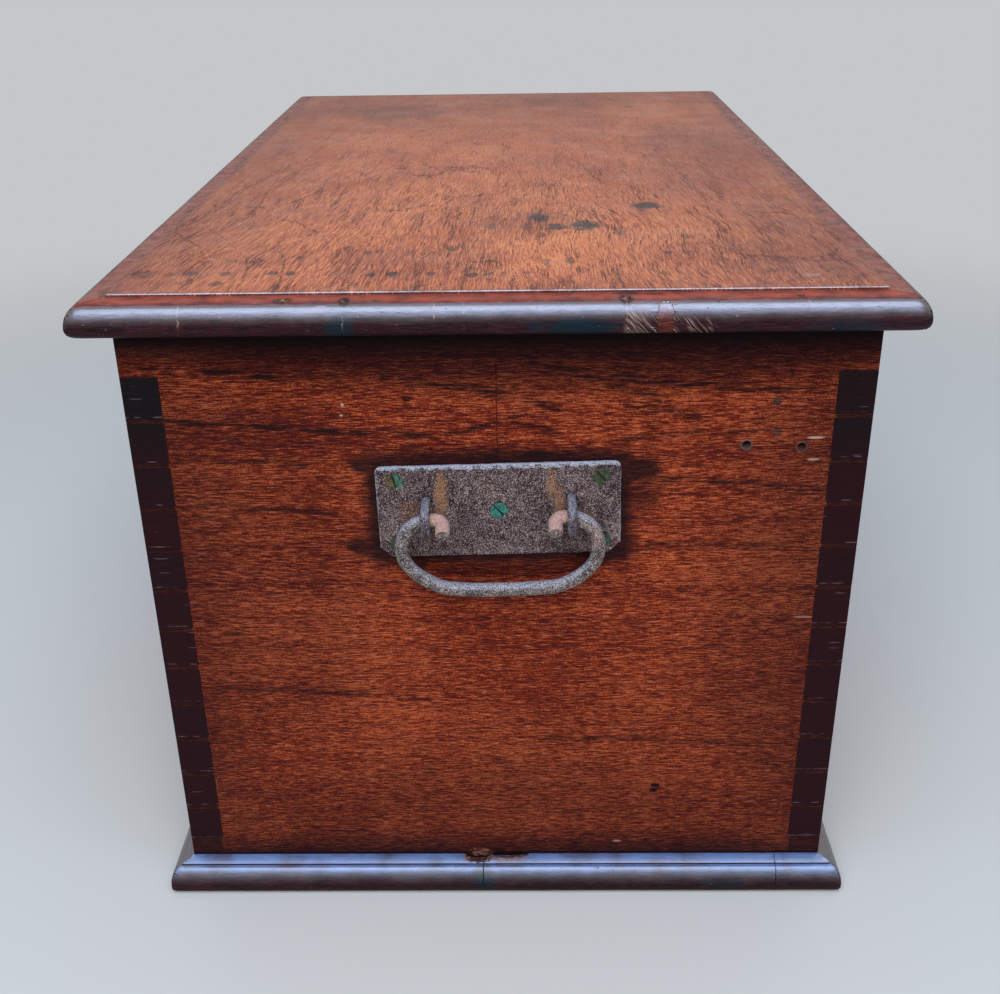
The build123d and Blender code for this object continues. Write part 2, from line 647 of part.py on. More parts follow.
def cap_screws(grow=0.0, slot=True):
    """Four screws through the cap plate, past both ends of the case."""
    y = LOCK_PLATE_LENGTH / 2 - LOCK_SCREW_INSET
    low = CASE_FOOT + LOCK_SCREW_INSET
    high = CASE_TOP - LOCK_SCREW_LENGTH - LOCK_SCREW_INSET
    return [screw((INNER_X, side * y, z), (1, 0, 0), LOCK_SCREW_HEAD, LOCK_SCREW_RADIUS,
                  LOCK_SCREW_LENGTH, LOCK_PLATE, grow, slot) for side in (-1, 1) for z in (low, high)]


def escutcheon():
    """The keyhole plate on the outside of the front board."""
    outline = Plane(origin=(HALF_WIDTH, 0, KEY_Z), x_dir=(0, 1, 0), z_dir=(1, 0, 0))
    face = outline * Ellipse(ESCUTCHEON_WIDTH / 2, ESCUTCHEON_HEIGHT / 2)
    plate = extrude(face, ESCUTCHEON_THICKNESS)
    return plate - keyhole(HALF_WIDTH, ESCUTCHEON_X)


def escutcheon_pins(grow=0.0):
    """Two pins that hold the keyhole plate, above and below the hole."""
    z = ESCUTCHEON_HEIGHT / 2 - ESCUTCHEON_PIN_INSET
    return [rod((ESCUTCHEON_X, 0, KEY_Z + side * z), (-1, 0, 0),
                ESCUTCHEON_PIN_RADIUS + grow, ESCUTCHEON_PIN_LENGTH) for side in (-1, 1)]


def lock_mortise():
    """The room for the lock in the front board: plates let in flush, and a pocket for the case."""
    half = LOCK_PLATE_LENGTH / 2
    pocket = CASE_LENGTH / 2 + MORTISE_FIT
    return [
        block((INNER_X, CASE_INNER_X), (-half, half), (CASE_FOOT, CASE_TOP)),
        block((INNER_X, INNER_X + SELVEDGE_WIDTH), (-half, half), (CASE_TOP, RIM_HEIGHT)),
        block((CASE_INNER_X, CASE_OUTER_X), (-pocket, pocket), (CASE_FOOT - MORTISE_FIT, CASE_TOP)),
        keyhole(CASE_OUTER_X, HALF_WIDTH),
    ]


def link_recess():
    """The room for the link plate in the lid board."""
    half = LOCK_PLATE_LENGTH / 2
    return block((INNER_X, INNER_X + SELVEDGE_WIDTH), (-half, half), (RIM_HEIGHT, RIM_HEIGHT + LOCK_PLATE))


# Assembly

SIDES = ("near", "front", "far", "back")
FIT = FASTENER_FIT
nodes = {}

hinges = hinge_places()
near_handle = handle_place(-1)
far_handle = handle_place(1)
handle_cuts = {}
for end, place in (("near", near_handle), ("far", far_handle)):
    handle_cuts[end] = [place * tool for tool in handle_screws(FIT, False) + staple_eyes(FIT)]

front = side_board(1)
back = side_board(-1)
ends = {"near": end_board(-1, (front, back)), "far": end_board(1, (front, back))}
nails_up = bottom_nails(FIT)
plinth_cuts = plinth_sprigs(FIT)
lip_cuts = lip_sprigs(FIT)

hole_cuts = old_holes(OLD_HOLES + FILLED_HOLES, FIT)
nodes["end_board_near"] = cut_all(ends["near"], nails_up + plinth_cuts + hole_cuts + handle_cuts["near"])
nodes["old_hole_plugs"] = solids_of(old_holes(FILLED_HOLES))
nodes["end_board_far"] = cut_all(ends["far"], nails_up + plinth_cuts + handle_cuts["far"])

lock_cuts = lock_mortise() + selvedge_screws(False, FIT, False) + cap_screws(FIT, False)
nodes["front_board"] = cut_all(front, nails_up + plinth_cuts + lock_cuts + escutcheon_pins(FIT))

back_cuts = [place * tool for place in hinges
             for tool in [hinge_recess(False)] + hinge_screws(False, FIT, False)]
nodes["back_board"] = cut_all(back, nails_up + plinth_cuts + back_cuts)

for index in range(BOTTOM_BOARDS):
    nodes[f"bottom_board_{index + 1}"] = cut_all(bottom_board(index), nails_up + plinth_cuts)
nodes["bottom_nails"] = solids_of(bottom_nails())

for side in SIDES:
    nodes[f"plinth_{side}"] = cut_all(plinth(side), plinth_cuts)
nodes["plinth_sprigs"] = solids_of(plinth_sprigs())

lid_cuts = [place * tool for place in hinges
            for tool in [hinge_recess(True), knuckle_notch()] + hinge_screws(True, FIT, False)]
link_cuts = [link_recess()] + selvedge_screws(True, FIT, False)
nodes["lid_board"] = cut_all(lid_board(), lid_cuts + link_cuts + lip_cuts)
for side in SIDES:
    nodes[f"lid_lip_{side}"] = cut_all(lip(side), lip_cuts)
lip_back_cuts = [place * tool for place in hinges for tool in (knuckle_notch(), hinge_recess(True))]
nodes["lid_lip_back"] = cut_all(nodes["lid_lip_back"], lip_back_cuts)
nodes["lid_repair_plug"] = nodes["lid_lip_near"] & repair_slot()
nodes["lid_lip_near"] = nodes["lid_lip_near"] - repair_slot()
nodes["lid_lip_sprigs"] = solids_of(lip_sprigs())

for end, place in (("near", near_handle), ("far", far_handle)):
    plate = cut_all(handle_plate(), handle_screws(FIT, False) + staple_eyes(FIT))
    nodes[f"handle_plate_{end}"] = place * plate
    nodes[f"staple_eyes_{end}"] = place * solids_of(staple_eyes())
    nodes[f"bail_{end}"] = place * bail()
    nodes[f"handle_screws_{end}"] = place * solids_of(handle_screws())

body_knuckles = range(0, HINGE_KNUCKLES, 2)
lid_knuckles = range(1, HINGE_KNUCKLES, 2)
for index, place in enumerate(hinges, start=1):
    lower = cut_all(hinge_leaf(False, body_knuckles), hinge_screws(False, FIT, False))
    upper = cut_all(hinge_leaf(True, lid_knuckles), hinge_screws(True, FIT, False))
    nodes[f"hinge_{index}_body_leaf"] = place * lower
    nodes[f"hinge_{index}_lid_leaf"] = place * upper
    nodes[f"hinge_{index}_pin"] = place * hinge_pin()
nodes["hinge_body_screws"] = solids_of([place * part for place in hinges for part in hinge_screws(False)])
nodes["hinge_lid_screws"] = solids_of([place * part for place in hinges for part in hinge_screws(True)])

nodes["lock_case"] = cut_all(lock_case(), selvedge_screws(False, FIT, False))
nodes["lock_cap"] = cut_all(lock_cap(), cap_screws(FIT, False))
nodes["lock_bolt"] = lock_bolt()
nodes["lock_spring"] = lock_spring()
nodes["lock_screws"] = solids_of(selvedge_screws(False) + cap_screws())
nodes["key"] = key()
nodes["link_plate"] = cut_all(link_plate(), selvedge_screws(True, FIT, False))
nodes["link_screws"] = solids_of(selvedge_screws(True))
nodes["escutcheon"] = cut_all(escutcheon(), escutcheon_pins(FIT))
nodes["escutcheon_pins"] = solids_of(escutcheon_pins())

os.makedirs("parts", exist_ok=True)
for name, shape in nodes.items():
    shape.label = name
    export_step(shape, f"parts/{name}.step")
print(len(nodes), "nodes")
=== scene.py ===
import json
import logging
import math
from dataclasses import dataclass
from enum import Enum
from typing import Callable, ClassVar, Iterable, Sequence, Union

import bmesh
import bpy
from mathutils import Matrix, Vector, noise

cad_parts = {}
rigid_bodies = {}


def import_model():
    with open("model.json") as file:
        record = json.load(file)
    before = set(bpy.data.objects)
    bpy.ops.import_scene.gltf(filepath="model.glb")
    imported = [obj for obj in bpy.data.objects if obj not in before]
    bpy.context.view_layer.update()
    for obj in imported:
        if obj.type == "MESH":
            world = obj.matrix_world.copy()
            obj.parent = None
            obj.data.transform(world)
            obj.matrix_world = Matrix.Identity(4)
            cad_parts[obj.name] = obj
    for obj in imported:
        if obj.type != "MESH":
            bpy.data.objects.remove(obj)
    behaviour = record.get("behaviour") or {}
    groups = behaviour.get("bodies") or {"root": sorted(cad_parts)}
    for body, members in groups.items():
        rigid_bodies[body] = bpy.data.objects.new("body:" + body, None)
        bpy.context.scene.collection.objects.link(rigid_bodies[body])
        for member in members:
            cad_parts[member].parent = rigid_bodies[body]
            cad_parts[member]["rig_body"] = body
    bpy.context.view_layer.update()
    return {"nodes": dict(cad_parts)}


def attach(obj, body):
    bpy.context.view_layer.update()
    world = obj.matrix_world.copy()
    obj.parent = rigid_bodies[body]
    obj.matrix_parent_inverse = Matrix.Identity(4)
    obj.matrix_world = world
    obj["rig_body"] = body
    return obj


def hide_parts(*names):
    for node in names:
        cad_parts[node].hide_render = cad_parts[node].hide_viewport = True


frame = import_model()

LOG = logging.getLogger("storage_chest")
MM = 0.001
# How much longer than wide the chest is on each side of its middle, in millimetres
LONGER = 166.0
# A face over this many square metres is flat, so its shading stays flat right into its corners
FLAT_ABOVE = 0.0004
Colour = tuple[float, float, float]
Paint = Union[Colour, bpy.types.NodeSocket]
Number = Union["Value", float]


# Shader writing

class Value:
    """A number in a shader that takes Python's own arithmetic."""

    def __init__(self, shader: "Shader", socket: bpy.types.NodeSocket) -> None:
        """Keeps the socket that the number comes from."""
        self.shader = shader
        self.socket = socket

    def math(self, operation: str, *terms: Number) -> "Value":
        """Joins terms by one Math node.

        Args:
            operation: The Math node's operation.
            terms: Its inputs in order.

        Returns:
            The node's result.
        """
        return self.shader.value("ShaderNodeMath", {"operation": operation}, dict(enumerate(terms)))

    def __add__(self, other: Number) -> "Value":
        """Sum."""
        return self.math("ADD", self, other)

    __radd__ = __add__

    def __sub__(self, other: Number) -> "Value":
        """Difference."""
        return self.math("SUBTRACT", self, other)

    def __rsub__(self, other: Number) -> "Value":
        """Difference with the number on the left."""
        return self.math("SUBTRACT", other, self)

    def __mul__(self, other: Number) -> "Value":
        """Product."""
        return self.math("MULTIPLY", self, other)

    __rmul__ = __mul__

    def __truediv__(self, other: Number) -> "Value":
        """Quotient."""
        return self.math("DIVIDE", self, other)

    def __pow__(self, other: Number) -> "Value":
        """Power."""
        return self.math("POWER", self, other)

    def __abs__(self) -> "Value":
        """Size without sign."""
        return self.math("ABSOLUTE", self)

    def larger(self, other: Number) -> "Value":
        """The larger of two numbers."""
        return self.math("MAXIMUM", self, other)

    def smaller(self, other: Number) -> "Value":
        """The smaller of two numbers."""
        return self.math("MINIMUM", self, other)

    def whole(self) -> "Value":
        """The whole number below."""
        return self.math("FLOOR", self)

    def fraction(self) -> "Value":
        """What is left over the whole number."""
        return self.math("FRACT", self)

    def sign(self) -> "Value":
        """Minus one, nought or one."""
        return self.math("SIGN", self)

    def held(self) -> "Value":
        """The number kept between 0 and 1."""
        return self.larger(0.0).smaller(1.0)

    def rise(self, low: float, high: float) -> "Value":
        """A soft step from 0 at low to 1 at high."""
        return self.shader.value("ShaderNodeMapRange", {"interpolation_type": "SMOOTHSTEP"},
                                 {0: self, 1: low, 2: high})

    def fall(self, low: float, high: float) -> "Value":
        """A soft step from 1 at low to 0 at high."""
        return 1.0 - self.rise(low, high)


class Shader:
    """One material's node tree, written as expressions."""

    def __init__(self, name: str) -> None:
        """Starts an empty material with its coordinates.

        Args:
            name: The material's name.
        """
        self.material = bpy.data.materials.new(name)
        self.material.use_nodes = True
        self.tree = self.material.node_tree
        self.tree.nodes.clear()
        coordinates = self.node("ShaderNodeTexCoord").outputs
        self.place = coordinates["Object"]
        self.x, self.y, self.z = self.split(self.place)
        self.facing_x, self.facing_y, self.facing_z = self.split(coordinates["Normal"])

    def node(self, kind: str, settings: dict | None = None, inputs: dict | None = None) -> bpy.types.Node:
        """Adds a node of any kind.

        Args:
            kind: The node's type.
            settings: Its settings, and a ramp's stops under "stops".
            inputs: Values or links of its sockets, by index or name.

        Returns:
            The node.
        """
        made = self.tree.nodes.new(kind)
        for key, setting in (settings or {}).items():
            if key == "stops":
                ramp = made.color_ramp
                while len(ramp.elements) < len(setting):
                    ramp.elements.new(1.0)
                for element, (position, colour) in zip(ramp.elements, setting):
                    element.position = position
                    element.color = (*colour, 1.0)
            else:
                setattr(made, key, setting)
        for key, given in (inputs or {}).items():
            source = given.socket if isinstance(given, Value) else given
            if isinstance(source, bpy.types.NodeSocket):
                self.tree.links.new(source, made.inputs[key])
            else:
                made.inputs[key].default_value = source
        return made

    def value(self, kind: str, settings: dict | None = None, inputs: dict | None = None,
              output: int | str = 0) -> Value:
        """Adds a node and returns one of its outputs as a number."""
        return Value(self, self.node(kind, settings, inputs).outputs[output])

    def split(self, vector: bpy.types.NodeSocket) -> tuple[Value, Value, Value]:
        """The three parts of a vector."""
        parts = self.node("ShaderNodeSeparateXYZ", inputs={0: vector}).outputs
        return Value(self, parts[0]), Value(self, parts[1]), Value(self, parts[2])

    def vector(self, x: Number, y: Number, z: Number) -> bpy.types.NodeSocket:
        """A vector from three numbers."""
        return self.node("ShaderNodeCombineXYZ", inputs={0: x, 1: y, 2: z}).outputs[0]

    def noise(self, vector: bpy.types.NodeSocket, scale: float = 1.0, detail: float = 2.0,
              roughness: float = 0.5, distortion: float = 0.0) -> Value:
        """Soft noise around 0.5.

        Args:
            vector: Where it is read.
            scale: Its scale per unit of the vector.
            detail: How many finer layers it has.
            roughness: How strong the finer layers are.
            distortion: How far it is bent.

        Returns:
            The noise.
        """
        return self.value("ShaderNodeTexNoise", {"noise_dimensions": "3D"},
                          {"Vector": vector, "Scale": scale, "Detail": detail,
                           "Roughness": roughness, "Distortion": distortion}, "Fac")

    def grained(self, x: Number, y: Number, z: Number, detail: float = 2.0, roughness: float = 0.5,
                distortion: float = 0.0) -> Value:
        """Soft noise at three numbers of their own scales, which may be stretched along a grain."""
        return self.noise(self.vector(x, y, z), 1.0, detail, roughness, distortion)

    def cells(self, vector: bpy.types.NodeSocket, scale: float) -> Value:
        """The distance to the nearest of many scattered points."""
        return self.value("ShaderNodeTexVoronoi", {"feature": "F1"},
                          {"Vector": vector, "Scale": scale}, "Distance")

    def ramp(self, factor: Value, stops: Sequence[tuple[float, Colour]]) -> bpy.types.NodeSocket:
        """A colour read from stops."""
        return self.node("ShaderNodeValToRGB", {"stops": stops}, {0: factor}).outputs[0]

    def blend(self, factor: Number, first: Paint, second: Paint) -> bpy.types.NodeSocket:
        """Mixes two colours.

        Args:
            factor: How much of the second.
            first: A colour or a colour socket.
            second: A colour or a colour socket.

        Returns:
            The mixed colour.
        """
        given = {0: factor}
        for index, colour in ((6, first), (7, second)):
            given[index] = (*colour, 1.0) if isinstance(colour, tuple) else colour
        return self.node("ShaderNodeMix", {"data_type": "RGBA"}, given).outputs[2]

    def bump(self, height: Value, depth: float,
             below: bpy.types.NodeSocket | None = None) -> bpy.types.NodeSocket:
        """A bump that presses a height into the surface.

        Args:
            height: The height between 0 and 1.
            depth: How deep the bump is, in metres.
            below: A normal that it is added to.

        Returns:
            The new normal.
        """
        inputs = {"Height": height, "Distance": depth, "Strength": 1.0}
        if below is not None:
            inputs["Normal"] = below
        return self.node("ShaderNodeBump", inputs=inputs).outputs[0]

    def close(self, varying: dict[str, object], fixed: dict[str, float] | None = None) -> bpy.types.Material:
        """Ends the material in one shader.

        Args:
            varying: Links for the sockets that change over the surface.
            fixed: Plain numbers for the others.

        Returns:
            The material.
        """
        surface = self.node("ShaderNodeBsdfPrincipled", inputs={**(fixed or {}), **varying})
        self.node("ShaderNodeOutputMaterial", inputs={0: surface.outputs[0]})
        return self.material

    def seen(self) -> Value:
        """Tells the rays that show a thing from those that only light it.

        Returns:
            1 for a ray straight from the camera, from a mirror or through glass, otherwise 0.
        """
        rays = self.node("ShaderNodeLightPath").outputs
        return Value(self, rays["Is Camera Ray"]).larger(Value(self, rays["Is Glossy Ray"])).larger(
            Value(self, rays["Is Transmission Ray"]))


class RoomShader(Shader):
    """The node tree of the room round the chest, written in the same way."""

    def __init__(self, name: str) -> None:
        """Starts an empty room.

        Args:
            name: The room's name.
        """
        self.world = bpy.data.worlds.new(name)
        self.world.use_nodes = True
        self.tree = self.world.node_tree
        self.tree.nodes.clear()


# Marks that are laid on a face, in millimetres along its two axes

@dataclass(frozen=True)
class Spot:
    """A soft oval mark."""

    across: float
    up: float
    half_width: float
    half_height: float
    strength: float = 1.0

    def mask(self, a: Value, b: Value, ragged: Number = 0.0) -> Value:
        """How much of the mark there is.

        Args:
            a: The first coordinate in metres.
            b: The second coordinate in metres.
            ragged: What is added to the distance for an uneven edge.

        Returns:
            A number from 0 to the strength.
        """
        first = (a - self.across * MM) / (self.half_width * MM)
        second = (b - self.up * MM) / (self.half_height * MM)
        away = (first * first + second * second) ** 0.5 + ragged
        return away.fall(0.55, 1.25) * self.strength


@dataclass(frozen=True)
class Streak:
    """A thin line that bows between two ends and fades at both."""

    start: tuple[float, float]
    end: tuple[float, float]
    width: float
    bow: float = 0.0
    strength: float = 1.0

    def mask(self, a: Value, b: Value, ragged: Number = 0.0) -> Value:
        """How much of the line there is.

        Args:
            a: The coordinate that the line runs along, in metres.
            b: The other coordinate, in metres.
            ragged: Metres added to the line's own height.

        Returns:
            A number from 0 to the strength.
        """
        run = (self.end[0] - self.start[0]) * MM
        along = (a - self.start[0] * MM) / run
        centre = (self.end[1] - self.start[1]) * MM * along + self.start[1] * MM
        if self.bow:
            centre = centre + (along - along * along) * (4 * self.bow * MM)
        off = abs(b - centre - ragged)
        ends = (along - along * along).rise(0.0, 0.05)
        return off.fall(0.25 * self.width * MM, self.width * MM) * ends * self.strength


def largest(masks: Iterable[Value]) -> Value:
    """The strongest of several masks at each point.

    Args:
        masks: The masks, at least one.

    Returns:
        The largest at each point.
    """
    found = None
    for mask in masks:
        found = mask if found is None else found.larger(mask)
    return found


def torn_wood(s: Shader, colour: bpy.types.NodeSocket, torn: Value) -> bpy.types.NodeSocket:
    """Rough bare wood where a splinter has gone.

    Args:
        s: The shader.
        colour: The colour round it.
        torn: How much has been torn away at each place.

    Returns:
        The colour with the bare wood in it.
    """
    crumb = s.grained(s.x * 300.0, s.y * 300.0, s.z * 520.0, detail=4.0, roughness=0.7)
    wood = s.ramp(crumb, ((0.40, (0.016, 0.006, 0.006)), (0.52, (0.15, 0.055, 0.040)),
                          (0.62, (0.27, 0.125, 0.085)), (0.72, (0.50, 0.30, 0.22))))
    return s.blend(torn, colour, wood)


# Finishes

class Grain(Enum):
    """The way that a board's grain runs."""

    ACROSS_CHEST = "x"
    ALONG_CHEST = "y"


@dataclass(frozen=True)
class Timber:
    """A solid wood whose figure runs through the whole board."""

    name: str
    grain: Grain = Grain.ACROSS_CHEST
    shade: Colour = (0.070, 0.007, 0.004)
    body: Colour = (0.175, 0.018, 0.004)
    light: Colour = (0.47, 0.110, 0.040)
    pore: Colour = (0.036, 0.003, 0.007)
    end_shade: Colour = (0.007, 0.0025, 0.004)
    scraped: Colour = (0.44, 0.30, 0.24)
    upright: bool = True
    ring_scale: float = 75.0
    waver: float = 0.016
    dash_cover: float = 0.54
    pore_cover: float = 0.62
    gloss: float = 0.36
    wax: float = 0.06
    wax_ior: float = 1.5
    wax_rough: float = 0.2
    specular: float = 0.05
    relief: float = 0.00022
    seed: float = 0.0

    def axes(self, s: Shader) -> tuple[Value, Value, Value]:
        """The board's own coordinates.

        Args:
            s: The shader.

        Returns:
            The coordinates along the grain, across it in the face and through the board.
        """
        if self.grain is Grain.ACROSS_CHEST:
            return (s.x, s.z, s.y) if self.upright else (s.x, s.y, s.z)
        return (s.y, s.z, s.x) if self.upright else (s.y, s.x, s.z)

    def figure(self, s: Shader) -> tuple[Value, Value, Value]:
        """The board's growth figure.

        Args:
            s: The shader that it is written in.

        Returns:
            The tone from 0 dark to 1 light, the dark dashes, and a relief height.
        """
        u, v, w = self.axes(s)
        u = u + self.seed
        bend = s.grained(u * 2.6, v * 7.0, w * 7.0 + self.seed, detail=3.0)
        wobble = s.grained(u * 17.0, v * 60.0, w * 60.0, detail=2.0)
        bent = v + (bend - 0.5) * self.waver + (wobble - 0.5) * 0.0024
        rings = s.grained(u * 1.9, bent * self.ring_scale, w * self.ring_scale * 0.6, detail=3.0,
                        roughness=0.6)
        fine = s.grained(u * 50.0, bent * 640.0, w * 380.0, detail=3.0, roughness=0.65)
        patches = s.grained(u * 9.0, v * 13.0, w * 9.0 + 4.0, detail=4.0)
        ribbon = s.grained(u * 21.0, v * 3.0, w * 9.0, detail=2.0)
        silk = s.grained(u * 130.0, bent * 1500.0, w * 900.0, detail=2.0, roughness=0.7)
        speck = s.noise(s.place, 1300.0, 1.0)
        calm = s.z.rise(0.16, 0.30) * 0.7 + 0.3
        tone = ((rings - 0.5) * calm * 0.55 + (fine - 0.5) * 0.9 + (silk - 0.5) * 2.8 + (speck - 0.5) * 1.2
                + (patches - 0.5) * 0.6 + (ribbon - 0.5) * 0.35 + 0.5)
        dash = s.grained(u * 80.0, bent * 1050.0, w * 450.0, detail=2.5, roughness=0.62)
        dashes = (dash - (rings - 0.5) * calm * 0.45 - (1.0 - calm) * 0.02).rise(
            self.dash_cover, self.dash_cover + 0.08) * 0.85
        hair = s.grained(u * 160.0, bent * 1900.0, w * 900.0, detail=1.0)
        pores = dashes.larger(hair.rise(self.pore_cover, self.pore_cover + 0.08) * 0.9)
        height = fine * 0.5 - pores * 0.7
        return tone.held(), pores, height

    def marks(self, s: Shader) -> tuple[Number, Number, Number]:
        """What wear has done to this board.

        Args:
            s: The shader.

        Returns:
            How dark it is stained, how bare it is scraped, and the depth of its marks.
        """
        return 0.0, 0.0, 0.0

    def surface(self, s: Shader, colour: bpy.types.NodeSocket) -> bpy.types.NodeSocket:
        """The colour once the board's own places are laid over it."""
        return colour

    def polish(self, s: Shader) -> Number:
        """How much wax there is at each place."""
        return self.wax

    def material(self) -> bpy.types.Material:
        """Writes the whole finish.

        Returns:
            The material.
        """
        s = Shader(self.name)
        tone, pores, height = self.figure(s)
        stain, bare, depth = self.marks(s)
        colour = s.ramp(tone, ((0.05, self.shade), (0.48, self.body), (0.95, self.light)))
        colour = s.blend(pores * 0.85, colour, self.pore)
        # The first mark is laid in the dark colour: stains, and on the near end board painted shade as well.
        colour = s.blend(stain, colour, self.end_shade)
        facing = s.facing_x if self.grain is Grain.ACROSS_CHEST else s.facing_y
        cut_end = abs(facing).rise(0.75, 0.9)
        fibres = s.noise(s.place, 900.0, 2.0)
        cut = s.ramp(fibres, ((0.3, self.end_shade), (0.75, tuple(2.4 * c for c in self.end_shade))))
        colour = s.blend(cut_end, colour, cut)
        colour = self.surface(s, colour)
        colour = s.blend(bare, colour, self.scraped)
        smear = s.noise(s.place, 34.0, 4.0, 0.6)
        rough = ((smear - 0.5) * 0.3 + self.gloss + pores * 0.15 + bare * 0.4).held()
        dents = s.bump(s.noise(s.place, 48.0, 3.0), 0.0006)
        normal = s.bump(height - depth, self.relief, dents)
        return s.close({"Base Color": colour, "Roughness": rough, "Normal": normal,
                        "Coat Weight": self.polish(s)},
                       {"Specular IOR Level": self.specular, "Coat IOR": self.wax_ior,
                        "Coat Roughness": self.wax_rough})


@dataclass(frozen=True)
class SideTimber(Timber):
    """The front and back boards, whose dark tail ends show on the chest's ends."""

    grain: Grain = Grain.ALONG_CHEST
    tail_pitch: float = 28.21
    first_tail: float = 373.5
    low_tail: Colour = (0.018, 0.0030, 0.0050)
    high_tail: Colour = (0.0025, 0.0050, 0.0060)
    ray: Colour = (0.030, 0.009, 0.010)
    scratch_and_highlight: Colour = (0.13, 0.085, 0.095)

    def surface(self, s: Shader, colour: bpy.types.NodeSocket) -> bpy.types.NodeSocket:
        """Gives each tail's end a shade of its own, and paints a pale highlight along each tail's lower edge.

        Args:
            s: The shader.
            colour: The wood's colour so far.

        Returns:
            The colour with the tails' ends in it.
        """
        end = abs(s.facing_y).rise(0.75, 0.9)
        down = (self.first_tail * MM - s.z) / (self.tail_pitch * MM)
        each = s.value("ShaderNodeTexWhiteNoise", {"noise_dimensions": "2D"},
                       {"Vector": s.vector(down.whole(), s.x.sign(), 0.0)}, "Value")
        high = s.z.rise(0.30, 0.36)
        shade = s.blend((high * 0.75 + (each - 0.5) * 0.6).held(), self.low_tail, self.high_tail)
        rays = s.grained(s.x * 60.0, s.z * 900.0, 0.0, detail=2.0).rise(0.45, 0.75)
        shade = s.blend(rays * 0.35, shade, self.ray)
        scratch = s.grained(s.x * 70.0 + 3.0, s.z * 700.0, 2.0, detail=0.0).rise(0.80, 0.83) * 0.5
        # Painted highlight: a pale line along each tail's lower edge, where the eased arris would catch the
        # light.
        part = (down + (s.noise(s.place, 90.0) - 0.5) * 0.02).fraction()
        lower = part.rise(0.895, 0.905) * part.fall(0.922, 0.935)
        lower = lower * s.noise(s.place, 150.0, 3.0).rise(0.46, 0.62)
        shade = s.blend(scratch.larger(lower * 0.6), shade, self.scratch_and_highlight)
        return s.blend(end, colour, shade)


